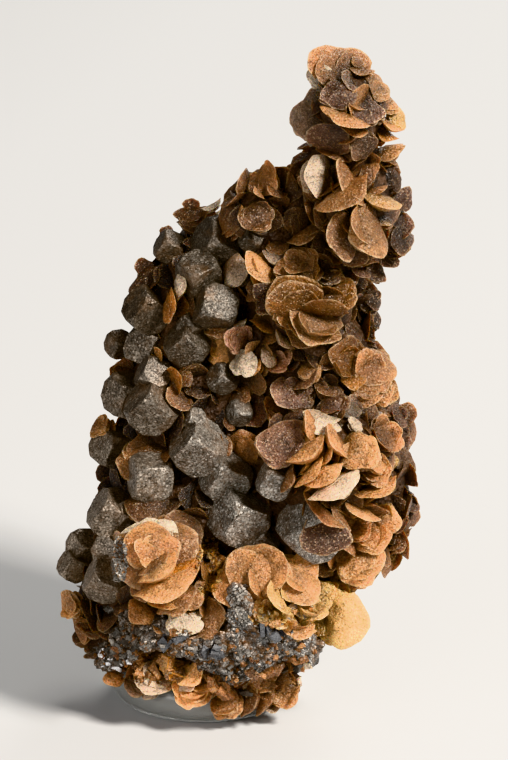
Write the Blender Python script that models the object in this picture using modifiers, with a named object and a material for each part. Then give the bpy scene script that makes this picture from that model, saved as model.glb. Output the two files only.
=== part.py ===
# Galena on siderite: a tall cluster of brown siderite rosettes that carries grey galena
# crystals, with a seam of massive galena across its broken foot, on a clear round base.
# The frame is +Z up, with the origin under the middle of the base; the display face looks to -Y.
import math

import bmesh
import bpy
import numpy as np
from mathutils import Matrix, Vector

MM = 0.001

# The specimen is laid out as it is seen on its display face, looking this far down on it.
VIEW_DOWN = math.radians(20.0)
RIGHT = np.array([1.0, 0.0, 0.0])
UP = np.array([0.0, math.sin(VIEW_DOWN), math.cos(VIEW_DOWN)])
NEAR = np.array([0.0, -math.cos(VIEW_DOWN), math.sin(VIEW_DOWN)])

# Gap that keeps neighbouring solids apart.
GAP = 0.3

# Clear base, in mm: the profile's points run from the middle of the top, down the side.
BASE_TOP = 4.5
BASE_PROFILE = [
    (0.0, BASE_TOP), (10.6, BASE_TOP), (11.9, 3.9), (12.4, 2.4), (12.1, 0.9), (11.3, 0.0), (0.0, 0.0),
]
BASE_STEPS = 32

# A siderite blade is a lens: half its thickness is this share of its radius, plus a little.
BLADE_SIDES = 7
BLADE_HALF = 0.2
BLADE_HALF_LEAST = 0.14
BLADE_WIDTH = 0.86
BLADE_SADDLE = 0.16

# Smallest blade that the solid holds, in mm of radius.
SMALLEST_BLADE = 2.2

# Core of the cluster: across, up, depth, then half-sizes along X, Y and Z, in mm.
CORE = [
    (0.3, 14.0, -1.0, 16.6, 13.6, 10.0),
    (-1.4, 23.5, 3.0, 13.0, 12.6, 13.0),
    (15.0, 27.0, 1.5, 13.3, 11.5, 14.0),
    (8.4, 14.0, -1.0, 10.6, 12.0, 8.5),
    (-0.4, 38.0, 6.0, 10.7, 10.5, 14.0),
    (14.8, 42.0, 4.5, 9.4, 9.5, 13.0),
    (0.6, 51.0, 8.0, 9.3, 8.5, 11.4),
    (12.5, 56.0, 5.5, 9.3, 8.0, 11.0),
    (18.8, 66.5, 4.0, 6.6, 5.8, 10.0),
    (19.4, 76.4, 2.0, 4.4, 4.0, 7.4),
    (0.5, 4.5, -9.6, 11.4, 5.0, 5.0),
]

# Bosses that the rosettes grow on: across, up, depth and radius, in mm.
BOSSES = [
    (19.3, 78.8, 0.6, 4.2), (19.8, 64.0, 0.0, 5.2), (8.4, 65.0, 4.4, 4.6), (13.5, 53.0, -0.4, 6.2),
    (7.2, 46.4, 0.6, 5.0), (20.6, 42.2, 0.5, 4.4), (16.4, 31.4, -5.0, 8.8), (20.6, 21.4, -4.0, 4.8),
    (-4.8, 17.4, -9.6, 5.4), (9.4, 12.8, -10.0, 6.4), (16.6, 10.8, -8.4, 2.8),
    (-14.0, 9.2, 1.0, 3.6), (24.6, 62.0, 6.0, 3.2), (24.4, 36.4, 3.0, 3.4),
]
# The core's solids are coarse, so they are drawn this much larger than the forms above.
CORE_GROW = 1.1

# Blades cover the back and the sides this far apart, in mm, and are about this large in radius.
# They stand on edge, sunk by a share of their radius, and lean by a random share of the normal.
COVER_SPACING = 10.4
COVER_RADIUS = 4.0
COVER_SIZES = (0.85, 1.2)
COVER_LEAN = (0.2, 0.9)
COVER_SINK = 0.4
COVER_CROWDED = 0.7
COVER_SEED = 5
# A spot whose normal turns this far to the viewer counts as part of the display face.
FACE_STARTS = 0.1

# Rosettes, as the blades that show on the display face. A blade gives across, up and radius in
# mm, the slant of its long axis in degrees, how far the face left of that axis is opened to the
# viewer (0 is edge on, 90 is flat on), and how far it stands in front of the core, in mm. The
# solid holds the blades that are no smaller than SMALLEST_BLADE.
ROSETTES = {
    "top": [
        (18.1, 82.7, 4.2, -25, 68, -0.3), (19.5, 83.0, 2.3, -60, 50, 0.2), (15.9, 82.9, 2.4, 66, 76, 0.8),
        (14.8, 77.4, 3.9, 80, 56, -0.2), (16.9, 74.2, 3.0, 155, 50, 0), (17.9, 80.0, 2.6, 20, 62, 0.2),
        (21.8, 77.7, 2.2, -14, 62, 0.3), (19.3, 76.6, 3.0, -18, 18, 0.6), (17.0, 77.8, 1.7, -21, 20, 0.8),
        (17.8, 78.3, 1.5, 141, 45, 0), (19.9, 74.2, 2.0, 32, 24, 0.2), (21.2, 73.3, 2.2, -127, 50, -0.3),
        (24.3, 72.7, 2.9, 16, 34, 0.4), (24.2, 74.7, 1.9, -26, 24, 0.5), (21.3, 84.6, 1.1, -30, 40, 0),
        (21.9, 83.0, 1.6, -0, 26, 0.2), (23.0, 81.3, 1.2, -34, 45, 0), (24.1, 80.4, 1.8, -38, 52, 0),
        (25.3, 78.8, 1.4, -34, 50, 0), (26.1, 76.9, 1.4, -53, 60, 0.2), (25.4, 75.6, 1.4, -29, 45, 0.3),
        (23.3, 79.3, 1.6, -56, 50, -0.2), (23.7, 76.5, 0.8, 45, 34, 0.8), (18.1, 81.7, 1.3, -9, 50, -0.3),
    ],
    "star": [
        (15.3, 69.6, 3.1, -99, 56, 0.8), (15.1, 67.4, 2.9, 144, 60, 0), (19.4, 68.2, 3.6, -63, 20, 1.2),
        (18.8, 66.5, 4.6, 34, 20, 0.8), (21.6, 69.5, 2.0, 16, 60, 0), (22.9, 67.3, 1.8, 20, 24, 0.6),
        (23.7, 65.7, 2.8, -15, 24, 0.9), (22.4, 61.8, 3.7, -74, 46, 0.6), (20.3, 62.9, 3.1, -78, 18, 0.9),
        (18.5, 61.4, 3.4, -90, 40, 0.3), (15.8, 59.9, 2.5, -96, 45, 0.2), (12.9, 63.3, 2.3, -131, 52, 0),
        (13.7, 61.7, 2.7, 35, 30, 0.6), (20.7, 57.0, 2.2, -49, 34, 0.2), (17.6, 58.4, 1.1, -43, 40, 0.2),
        (25.1, 69.1, 2.1, -66, 58, -0.4), (27.4, 66.6, 1.8, -95, 50, -0.4), (24.3, 63.2, 1.2, -38, 48, 0),
        (23.1, 56.6, 1.7, -67, 50, 0),
    ],
    "shoulder": [
        (8.4, 68.7, 2.6, 65, 46, 0), (11.6, 67.7, 3.2, 78, 52, -0.2), (9.7, 67.2, 1.6, -26, 32, 0.4),
        (7.4, 67.1, 1.1, -50, 22, 0.6), (7.2, 63.9, 2.5, 17, 70, 0.2), (5.0, 64.6, 0.9, 77, 24, 0.6),
        (3.5, 63.9, 3.0, 84, 36, 0), (4.4, 61.8, 1.7, 93, 32, 0.6), (1.3, 65.5, 1.5, 28, 26, 0.3),
        (1.5, 64.2, 1.0, -15, 45, 0), (9.9, 59.9, 1.6, 8, 45, 0),
    ],
    "crest": [
        (-1.7, 64.3, 2.3, 13, 46, 0), (-1.4, 62.4, 2.0, -13, 30, 0.5), (-1.4, 60.7, 1.2, 14, 50, 0.2),
        (-5.0, 61.1, 1.9, 77, 50, -0.4), (-3.0, 54.9, 2.3, 84, 26, 0.5), (-7.6, 55.4, 3.2, 48, 46, 0),
        (-5.1, 52.5, 2.4, 69, 45, 0.2),
    ],
    "leaf": [
        (4.3, 56.8, 2.5, 73, 48, 0.4), (7.8, 57.1, 2.7, -41, 38, 0.9), (9.8, 58.9, 1.9, -15, 40, 0),
        (12.6, 57.5, 3.0, 18, 60, 0), (6.8, 53.7, 1.3, 60, 50, 0),
    ],
    "amber": [
        (8.9, 52.9, 2.6, 61, 55, 0.5), (12.2, 52.4, 4.0, -158, 42, 0.8), (12.8, 54.5, 1.8, 17, 36, 0.4),
        (16.7, 56.3, 2.0, -12, 45, 0.2), (16.3, 51.7, 3.6, 176, 34, 0.9), (17.9, 53.4, 2.9, 17, 60, 0.2),
        (21.2, 51.2, 1.4, -102, 32, 0.2), (14.7, 49.2, 3.9, -36, 40, 1.2),
        (16.9, 44.9, 1.4, -156, 46, 0.2), (18.8, 45.3, 2.9, -99, 46, 0.2),
        (10.3, 49.7, 1.2, -30, 30, 0.3), (20.0, 48.5, 1.6, -63, 36, 0), (17.8, 49.1, 1.2, -47, 45, 0.2),
        (22.6, 52.8, 2.1, -82, 50, -0.3), (13.9, 56.2, 2.1, 10, 50, 0),
    ],
    "fan": [
        (23.1, 43.8, 3.7, -35, 68, 0.3), (20.2, 42.3, 1.7, 8, 46, 0.5), (14.3, 43.3, 1.7, 29, 55, 0.2),
        (24.6, 40.6, 1.9, 27, 50, 0.3), (21.9, 40.3, 2.2, -12, 55, 0.3), (20.7, 45.5, 2.0, -59, 50, 0),
    ],
    "waist": [
        (4.4, 49.1, 1.8, 36, 26, 0.5), (4.6, 47.8, 2.1, -121, 60, 0.2), (2.3, 46.0, 2.2, 66, 50, 0.2),
        (5.4, 44.4, 2.1, 60, 50, 0.5), (7.2, 43.9, 1.2, 72, 26, 0.3), (10.6, 47.6, 2.0, -53, 30, 0.2),
        (10.3, 44.4, 1.9, 33, 46, 0.2), (12.3, 47.6, 1.4, -63, 30, 0.2), (1.6, 43.6, 1.2, 39, 45, 0),
        (8.8, 45.3, 1.5, -50, 40, 0),
    ],
    "front": [
        (10.5, 33.8, 3.5, 24, 72, 0.9), (5.7, 32.9, 2.7, 123, 60, 0.3), (6.5, 37.9, 2.5, 32, 60, 0.1),
        (10.1, 37.8, 2.2, -28, 46, 0.5), (11.9, 40.3, 3.0, -12, 56, 0), (16.8, 40.9, 2.0, -18, 50, 0),
        (13.0, 39.0, 1.8, 21, 50, 0.4), (17.5, 38.9, 2.3, 15, 45, 0.2), (19.6, 38.4, 1.8, -52, 45, 0.3),
        (15.8, 36.8, 2.7, -24, 36, 0.8), (20.4, 36.4, 1.2, -44, 40, 0.8), (22.5, 37.8, 1.5, -19, 36, 0.4),
        (14.3, 36.0, 2.3, -77, 18, 1.3), (17.3, 34.0, 2.7, -63, 22, 1.2), (14.2, 32.5, 3.3, 37, 18, 1.3),
        (14.2, 29.8, 2.8, 48, 20, 1.4), (16.6, 32.1, 1.8, 62, 20, 1.3), (16.4, 29.1, 3.1, 31, 24, 1.6),
        (17.5, 28.2, 3.6, 27, 50, 1.6), (11.5, 29.0, 2.2, 67, 30, 0.6), (20.8, 32.7, 3.1, 42, 66, 0.5),
        (24.2, 34.7, 2.8, -55, 56, 0.3), (25.2, 31.2, 1.1, 24, 55, 0.8), (22.8, 31.1, 1.9, -48, 42, 0.5),
        (23.2, 27.7, 3.3, 22, 30, 0.9), (23.1, 29.8, 2.3, 18, 46, 0.5), (21.1, 24.8, 2.5, -29, 28, 1.3),
        (18.2, 24.0, 2.4, -57, 30, 1.0), (15.9, 24.5, 3.7, -43, 22, 1.4), (20.9, 22.2, 2.1, 40, 60, 0.8),
        (24.1, 23.5, 2.4, 54, 60, 0.6), (22.7, 21.0, 2.6, 26, 54, 0.8), (19.5, 20.3, 1.9, -67, 26, 1.0),
        (20.9, 17.8, 3.6, 29, 58, 0.8), (20.3, 15.3, 1.9, -44, 50, 0.6), (2.2, 32.8, 2.1, -139, 50, 0),
        (3.5, 36.3, 1.0, -47, 36, 0.2), (5.0, 40.1, 1.7, 46, 50, 0), (23.5, 40.5, 2.2, 16, 64, 0.2),
        (17.2, 17.3, 1.1, 53, 45, 0.2),
    ],
    "stain": [
        (16.0, 21.5, 3.1, 27, 80, 0),
    ],
    "rose": [
        (-6.5, 19.4, 5.7, 10, 66, 0), (-2.8, 22.0, 3.1, -39, 50, 0.2), (-8.0, 20.4, 4.4, 25, 62, 0.8),
        (-7.4, 19.2, 3.7, 5, 58, 1.6), (-6.9, 18.6, 2.7, -30, 46, 2.3), (-6.2, 17.4, 2.5, 38, 26, 2.6),
        (-5.6, 16.9, 3.4, 38, 24, 2.5), (-1.9, 18.5, 2.2, 46, 46, 0.6), (-3.0, 17.1, 2.4, 15, 22, 1.0),
        (-4.6, 14.7, 4.7, 24, 26, 2.2), (-3.4, 12.8, 3.4, 35, 32, 1.0), (-1.8, 13.2, 2.2, 38, 46, 0.6),
        (-8.1, 11.1, 2.4, -38, 50, 0.8), (-2.5, 9.8, 2.4, 6, 62, 1.2), (1.0, 10.2, 2.8, 71, 50, 0.5),
        (-5.6, 9.3, 1.6, -24, 36, 0.8), (2.3, 7.9, 1.5, 34, 40, 0.6),
    ],
    "knob": [
        (0.8, 19.5, 1.3, 28, 50, 0), (1.2, 17.3, 1.3, 25, 50, 0.2), (0.9, 15.0, 1.3, 32, 50, 0.2),
        (2.1, 17.9, 1.3, -58, 50, 0),
    ],
    "honey": [
        (6.5, 16.0, 5.1, 32, 68, 0.8), (12.4, 15.6, 3.9, -41, 50, 0.6), (7.0, 15.2, 2.1, -71, 26, 1.8),
        (9.8, 13.2, 2.7, -60, 30, 1.9), (14.2, 11.7, 2.4, -23, 36, 1.4), (8.1, 11.4, 1.8, -63, 45, 1.4),
        (6.4, 12.1, 1.7, -45, 45, 1.2), (12.5, 9.3, 2.6, -12, 40, 1.2), (10.5, 10.3, 2.0, -16, 40, 1.4),
        (5.0, 9.7, 1.2, -6, 50, 0.8), (15.5, 7.9, 1.9, -25, 40, 0.8),
    ],
    "ear": [
        (18.3, 10.1, 4.1, 77, 60, 0.5), (15.8, 13.4, 2.6, 14, 40, 0.7), (17.5, 7.9, 1.8, 27, 45, 0.5),
    ],
    "toe": [
        (1.6, 1.9, 2.5, -43, 26, 0.5), (3.3, -1.4, 2.4, 54, 60, 0.6), (6.5, -0.4, 3.1, 75, 26, 0.5),
        (8.4, -0.5, 2.8, 70, 26, 0.6), (11.0, 0.5, 2.8, 53, 56, 0.3), (10.2, -2.5, 1.4, 20, 36, 0.3),
        (12.0, 4.8, 2.5, 11, 40, 0.5), (11.1, 2.4, 1.5, 27, 40, 0.3),
    ],
    "heel": [
        (-3.7, 3.4, 2.0, -41, 40, 0.6), (-1.0, 0.9, 1.9, 42, 50, 0.7), (-1.2, 0.3, 2.7, 8, 42, 0.5),
        (-6.7, 2.4, 2.8, -35, 50, 0.2), (-9.4, 0.9, 1.7, -31, 45, 0.3), (-7.1, 0.4, 1.4, 41, 46, 0.2),
        (-12.1, 2.1, 1.4, -8, 45, 0), (-2.1, 1.7, 1.7, 39, 40, 0.4),
    ],
    "left_foot": [
        (-18.1, 11.9, 2.1, 97, 44, 0), (-16.5, 8.5, 2.1, 110, 40, 0.2), (-14.9, 5.0, 1.3, 32, 40, 0),
        (-14.9, 9.2, 2.3, 18, 50, 0), (-11.1, 7.9, 1.9, 25, 50, 0),
    ],
    "disc": [
        (-7.5, 31.7, 4.4, 10, 56, 0), (-7.6, 25.4, 3.2, 9, 46, 0), (1.8, 33.1, 2.3, 56, 50, 0),
        (-14.5, 34.9, 1.5, 56, 46, 0), (-3.1, 39.6, 2.2, -40, 50, 0), (-3.1, 42.5, 1.8, 51, 50, 0),
    ],
    "ledge": [
        (-10.5, 43.1, 2.0, -6, 42, 0), (-6.6, 46.7, 1.9, 67, 46, 0), (-0.8, 52.0, 1.7, 48, 50, 0),
        (2.5, 49.7, 2.5, 31, 36, 0.2), (-1.6, 45.0, 1.7, 59, 45, 0),
    ],
}
BLADE_PROUD = 0.2

# Galena crystals on the display face: across, up and edge in mm, then the turn about X, Y and Z
# in degrees. Crystals that have grown into each other stand under one name.
CRYSTALS = {
    "galena_crest": [
        (2.0, 60.4, 5.4, 35, 28, 20), (-0.6, 56.4, 4.6, 20, -15, 30), (1.6, 51.8, 5.0, 48, 20, 10),
        (-1.6, 49.4, 2.8, 40, 10, 50), (-2.1, 47.0, 4.6, 30, 40, 15),
    ],
    "galena_point": [(-11.4, 47.0, 3.0, 25, 5, 35)],
    "galena_ledge": [
        (-7.5, 51.6, 4.8, 15, 35, 25), (-7.8, 46.6, 4.2, 10, 20, 60), (-6.7, 42.8, 3.8, 50, 30, 5),
        (-6.8, 38.6, 5.4, 30, 42, 12), (-10.4, 40.2, 4.7, 12, 8, 40),
    ],
    "galena_waist": [(2.6, 42.4, 3.2, 40, 30, 30)],
    "galena_tip": [(-4.5, 60.0, 3.4, 20, 30, 10)],
    "galena_cube": [(-7.1, 29.2, 5.2, 6, 4, 14)],
    "galena_middle": [
        (-0.6, 33.2, 5.6, 28, 38, 12), (3.0, 29.2, 5.2, 18, 26, 22),
        (4.8, 23.8, 6.0, 16, 24, 30), (7.8, 20.4, 3.4, 20, 40, 20), (-1.2, 37.0, 2.3, 45, 20, 20),
    ],
    "galena_spur": [(4.8, 37.8, 2.8, 35, 15, 25)],
    "galena_side": [
        (-12.2, 24.2, 5.0, 20, 35, 10), (-10.3, 24.2, 2.6, 40, 5, 30),
        (-11.8, 19.4, 4.6, 25, 5, 55), (-13.2, 15.4, 4.6, 35, 25, 5),
    ],
    "galena_edge": [(-12.3, 33.2, 4.6, 12, 18, 38)],
    "galena_rim": [(-16.2, 19.6, 3.7, 30, 10, 30), (-17.6, 17.0, 3.3, 10, 30, 20)],
    "galena_chip": [(9.6, 28.8, 4.0, 10, 25, 8)],
    "galena_plate": [(14.6, 22.4, 6.8, 12, 40, 28)],
    "galena_fleck": [(6.4, 61.0, 2.6, 35, 35, 5)],
}
BACK_CRYSTALS = {
    "galena_back_left": [(-8.8, 35.2, 4.8, 20, 30, 40)],
    "galena_back_low": [(-6.0, 25.0, 5.4, 30, 10, 25)],
    "galena_back_middle": [(3.0, 30.0, 5.0, 15, 40, 10)],
    "galena_back_right": [(16.0, 29.5, 5.2, 35, 25, 35)],
    "galena_back_high": [(4.0, 46.0, 4.8, 25, 15, 50)],
    "galena_back_top": [(14.5, 50.5, 4.4, 40, 35, 15)],
    "galena_back_foot": [(0.5, 17.5, 5.0, 10, 20, 45)],
    "galena_back_corner": [(16.0, 15.5, 4.6, 30, 30, 20)],
}
CRYSTAL_PROUD = 0.2
CRYSTAL_CUT = 0.27

# Seam of massive galena across the broken foot, as lumps fused in a row.
SEAM_LUMPS = [
    (5.0, 13.6, -16.8, 3.0), (5.6, 10.6, -16.9, 3.8), (8.6, 8.4, -17.0, 3.8), (4.2, 7.6, -16.4, 4.4),
    (1.6, 6.2, -16.0, 4.6), (7.4, 5.6, -16.2, 4.6), (11.2, 7.2, -16.2, 3.8), (13.6, 6.4, -14.9, 3.5),
    (4.2, 3.4, -15.6, 3.8), (-2.6, 7.2, -15.0, 4.0), (-9.0, 9.6, -12.4, 4.0), (-9.8, 6.8, -11.6, 4.4),
    (-6.2, 8.4, -13.4, 4.4), (-12.4, 5.0, -9.0, 3.6),
]

SIDERITE = ("siderite", (0.42, 0.24, 0.12), 0.55, 0.0)
GALENA = ("galena", (0.30, 0.29, 0.28), 0.45, 0.7)
CLEAR = ("clear_base", (0.82, 0.86, 0.84), 0.2, 0.0)


def face_point(across, up, depth):
    """World point, in mm, of a spot seen at (across, up), `depth` behind the base's middle."""
    height = (up - depth * math.sin(VIEW_DOWN)) / math.cos(VIEW_DOWN)
    return np.array([across, depth, height])


def material(name, colour, roughness, metallic):
    made = bpy.data.materials.get(name)
    if made is None:
        made = bpy.data.materials.new(name)
        made.use_nodes = True
        shader = made.node_tree.nodes["Principled BSDF"]
        shader.inputs["Base Color"].default_value = (*colour, 1.0)
        shader.inputs["Roughness"].default_value = roughness
        shader.inputs["Metallic"].default_value = metallic
    return made


def new_collection(name):
    made = bpy.data.collections.new(name)
    bpy.context.scene.collection.children.link(made)
    return made


def add_object(name, bm, collection, finish=None, helper=False):
    mesh = bpy.data.meshes.new(name)
    bm.to_mesh(mesh)
    bm.free()
    made = bpy.data.objects.new(name, mesh)
    collection.objects.link(made)
    if finish:
        mesh.materials.append(material(*finish))
    if helper:
        made.hide_render = True
        made.display_type = "WIRE"
    return made


def unit(vector):
    return vector / np.linalg.norm(vector)


def blade_axes(slant, opened):
    """Long axis, cross axis and normal of a blade, from how it is seen on the display face."""
    slant, opened = math.radians(slant), math.radians(opened)
    along = math.cos(slant) * RIGHT + math.sin(slant) * UP
    side = -math.sin(slant) * RIGHT + math.cos(slant) * UP
    normal = math.cos(opened) * side + math.sin(opened) * NEAR
    return along, np.cross(normal, along), normal


def bodies():
    """The core's ellipsoids and the rosettes' bosses, as centre and half-sizes."""
    for across, up, depth, *half_sizes in CORE:
        yield face_point(across, up, depth), np.array(half_sizes)
    for across, up, depth, radius in BOSSES:
        yield face_point(across, up, depth), np.full(3, radius)


def seat(across, up, proud, toward=NEAR):
    """Spot seen at (across, up), `proud` in front of the core or of the body it passes closest."""
    start = across * RIGHT + up * UP
    hits, misses = [], []
    for middle, half in bodies():
        line, offset = toward / half, (start - middle) / half
        square, cross, rest = line @ line, offset @ line, offset @ offset - 1.0
        inside = cross * cross - square * rest
        if inside > 0.0:
            hits.append((math.sqrt(inside) - cross) / square)
        misses.append((rest - cross * cross / square, -cross / square))
    return start + ((max(hits) if hits else min(misses)[1]) + proud) * toward


def face_blades():
    """The blades that show, each seated on the core where it is seen."""
    for rows in ROSETTES.values():
        for across, up, size, slant, opened, lift in rows:
            yield seat(across, up, BLADE_PROUD * size + lift), blade_axes(slant, opened), size


def cover_blades():
    """Blades that stand on the core's hidden sides, on golden-angle spirals."""
    rng = np.random.default_rng(COVER_SEED)
    masses = list(bodies())
    taken = []
    for middle, half in masses:
        count = max(4, round(4.0 * math.pi * np.mean(half) ** 2 / COVER_SPACING**2))
        for i in range(count):
            rise = 1.0 - 2.0 * (i + 0.5) / count
            turn, ring = i * math.pi * (3.0 - math.sqrt(5.0)), math.sqrt(1.0 - rise**2)
            out = np.array([ring * math.cos(turn), ring * math.sin(turn), rise])
            spot = middle + half * out
            normal = unit(out / half)
            sideways = unit(np.cross(normal, rng.normal(size=3)))
            face = unit(sideways + rng.uniform(*COVER_LEAN) * normal)
            along = unit(np.cross(face, normal))
            size = COVER_RADIUS * rng.uniform(*COVER_SIZES)
            buried = sum(np.sum(((spot - m) / h) ** 2) < 1.0 for m, h in masses) > 1
            crowded = any(np.linalg.norm(spot - other) < COVER_CROWDED * COVER_SPACING for other in taken)
            hidden = normal @ NEAR < FACE_STARTS and spot[2] > BASE_TOP + size
            if hidden and not buried and not crowded:
                taken.append(spot)
                yield spot - COVER_SINK * size * normal, (along, np.cross(face, along), face), size


def blade_mesh(radius):
    """A lens with a sharp rim, a little narrower one way and bent like a saddle."""
    half = BLADE_HALF * radius + BLADE_HALF_LEAST
    bm = bmesh.new()
    bmesh.ops.create_uvsphere(bm, u_segments=BLADE_SIDES, v_segments=2, radius=1.0)
    for vert in bm.verts:
        x, y, z = vert.co
        reach = min(1.0, math.hypot(x, y))
        rise = math.copysign(half * (1.0 - reach**2), z) if abs(z) > 1e-4 else 0.0
        bend = BLADE_SADDLE * radius * (x * x - y * y)
        vert.co = (x * radius, y * radius * BLADE_WIDTH, rise + bend)
    return bm


def place(bm, centre, axes):
    turn = Matrix([[axis[row] for axis in axes] for row in range(3)]).to_4x4()
    bmesh.ops.transform(bm, matrix=Matrix.Translation(Vector(centre)) @ turn, verts=bm.verts)
    bmesh.ops.scale(bm, vec=(MM, MM, MM), verts=bm.verts)
    return bm


def add_blades(collection):
    for i, (spot, axes, size) in enumerate([*cover_blades(), *face_blades()]):
        if size >= SMALLEST_BLADE:
            add_object(f"blade_{i}", place(blade_mesh(size), spot, axes), collection, helper=True)


def add_core(collection):
    for i, (middle, half) in enumerate(bodies()):
        bm = bmesh.new()
        bmesh.ops.create_icosphere(bm, subdivisions=1, radius=CORE_GROW)
        bmesh.ops.scale(bm, vec=half, verts=bm.verts)
        add_object(f"core_{i}", place(bm, middle, np.eye(3)), collection, helper=True)


def turn_about(bm, turns):
    for turn, axis in zip(turns, "XYZ"):
        matrix = Matrix.Rotation(math.radians(turn), 3, axis)
        bmesh.ops.rotate(bm, cent=(0, 0, 0), matrix=matrix, verts=bm.verts)
    return bm


def crystal_mesh(edge, turns):
    """A cube with its corners cut flat, the common form of galena, turned about X, Y and Z."""
    bm = bmesh.new()
    bmesh.ops.create_cube(bm, size=edge)
    cut = CRYSTAL_CUT * edge
    bmesh.ops.bevel(bm, geom=list(bm.verts), offset=cut, offset_type="OFFSET", segments=1, affect="VERTICES")
    return turn_about(bm, turns)


def cube_mesh(edge, turns):
    bm = bmesh.new()
    bmesh.ops.create_cube(bm, size=edge)
    return turn_about(bm, turns)


def add_crystals(crystals, toward, shown, sockets):
    for name, rows in crystals.items():
        pieces = new_collection(f"{name}_pieces") if len(rows) > 1 else shown
        for i, (across, up, edge, *turns) in enumerate(rows):
            spot = seat(across, up, CRYSTAL_PROUD * edge, toward)
            crystal = place(crystal_mesh(edge, turns), spot, np.eye(3))
            if len(rows) > 1:
                add_object(f"{name}_{i}", crystal, pieces, helper=True)
            else:
                add_object(name, crystal, shown, GALENA)
            room = place(cube_mesh(edge + 2.0 * GAP, turns), spot, np.eye(3))
            add_object(f"{name}_room_{i}", room, sockets, helper=True)
        if len(rows) > 1:
            fuse(name, pieces, None, shown, GALENA)


def add_lumps(name, lumps, collection, sockets):
    """The seam's lumps: cleaved cubes, each turned its own way, and the room that they take up."""
    rng = np.random.default_rng(len(lumps))
    for i, (across, up, depth, edge) in enumerate(lumps):
        turns, spot = rng.uniform(0.0, 90.0, 3), face_point(across, up, depth)
        lump, room = (place(cube_mesh(edge + extra, turns), spot, np.eye(3)) for extra in (0.0, 2.0 * GAP))
        add_object(f"{name}_lump_{i}", lump, collection, helper=True)
        add_object(f"{name}_room_{i}", room, sockets, helper=True)


def fuse(name, pieces, cutters, shown, finish):
    """Joins the pieces in one solid, takes the cutters out of it, and keeps its largest body."""
    first = pieces.objects[0]
    made = bpy.data.objects.new(name, first.data.copy())
    pieces.objects.unlink(first)
    shown.objects.link(made)
    for label, operation, group in (("join", "UNION", pieces), ("cut", "DIFFERENCE", cutters)):
        if group and len(group.objects):
            modifier = made.modifiers.new(label, "BOOLEAN")
            modifier.operation = operation
            modifier.operand_type = "COLLECTION"
            modifier.collection = group
            modifier.solver = "EXACT"
    bpy.context.view_layer.update()
    graph = bpy.context.evaluated_depsgraph_get()
    mesh = bpy.data.meshes.new_from_object(made.evaluated_get(graph))
    made.modifiers.clear()
    made.data = mesh
    keep_largest(mesh)
    mesh.materials.clear()
    mesh.materials.append(material(*finish))
    return made


def keep_largest(mesh):
    """Deletes the chips that the cuts leave loose."""
    bm = bmesh.new()
    bm.from_mesh(mesh)
    unseen = set(bm.verts)
    bodies = []
    while unseen:
        body, edge_of = set(), [unseen.pop()]
        while edge_of:
            vert = edge_of.pop()
            body.add(vert)
            for edge in vert.link_edges:
                other = edge.other_vert(vert)
                if other in unseen:
                    unseen.discard(other)
                    edge_of.append(other)
        bodies.append(body)
    largest = max(bodies, key=len)
    bmesh.ops.delete(bm, geom=[v for v in bm.verts if v not in largest], context="VERTS")
    bm.to_mesh(mesh)
    bm.free()


def add_base(name, collection, grow=0.0, finish=None):
    """The clear base: its profile turned about Z, or grown all round as a cutter."""
    bm = bmesh.new()
    top, low = BASE_PROFILE[0][1], BASE_PROFILE[-1][1]
    points = []
    for radius, height in BASE_PROFILE:
        radius = radius + grow if radius > 0 else 0.0
        height = height + grow if height == top else height - grow if height == low else height
        points.append(bm.verts.new((radius * MM, 0.0, height * MM)))
    for a, b in zip(points, points[1:]):
        bm.edges.new((a, b))
    made = add_object(name, bm, collection, finish, helper=finish is None)
    screw = made.modifiers.new("turn", "SCREW")
    screw.steps = screw.render_steps = BASE_STEPS
    screw.use_merge_vertices = True
    screw.merge_threshold = 0.00001
    return made


def main():
    for old in list(bpy.data.objects):
        bpy.data.objects.remove(old)
    shown = new_collection("galena_on_siderite")
    siderite, seam = new_collection("siderite_pieces"), new_collection("seam_lumps")
    cutters, base_room = new_collection("siderite_cutters"), new_collection("base_room")
    add_core(siderite)
    add_blades(siderite)
    add_crystals(CRYSTALS, NEAR, shown, cutters)
    add_crystals(BACK_CRYSTALS, -NEAR, shown, cutters)
    add_lumps("galena_seam", SEAM_LUMPS, seam, cutters)
    add_base("clear_base", shown, finish=CLEAR)
    for group in (cutters, base_room):
        add_base(f"{group.name}_base", group, GAP)
    fuse("siderite", siderite, cutters, shown, SIDERITE)
    fuse("galena_seam", seam, base_room, shown, GALENA)


main()
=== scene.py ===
# Dresses the galena on siderite: rosettes of lens blades, etched galena crystals, the broken
# seam at the foot and the clear base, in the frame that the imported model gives.
import math

import bpy
import numpy as np
from mathutils import Matrix, Vector
from mathutils.bvhtree import BVHTree


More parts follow.
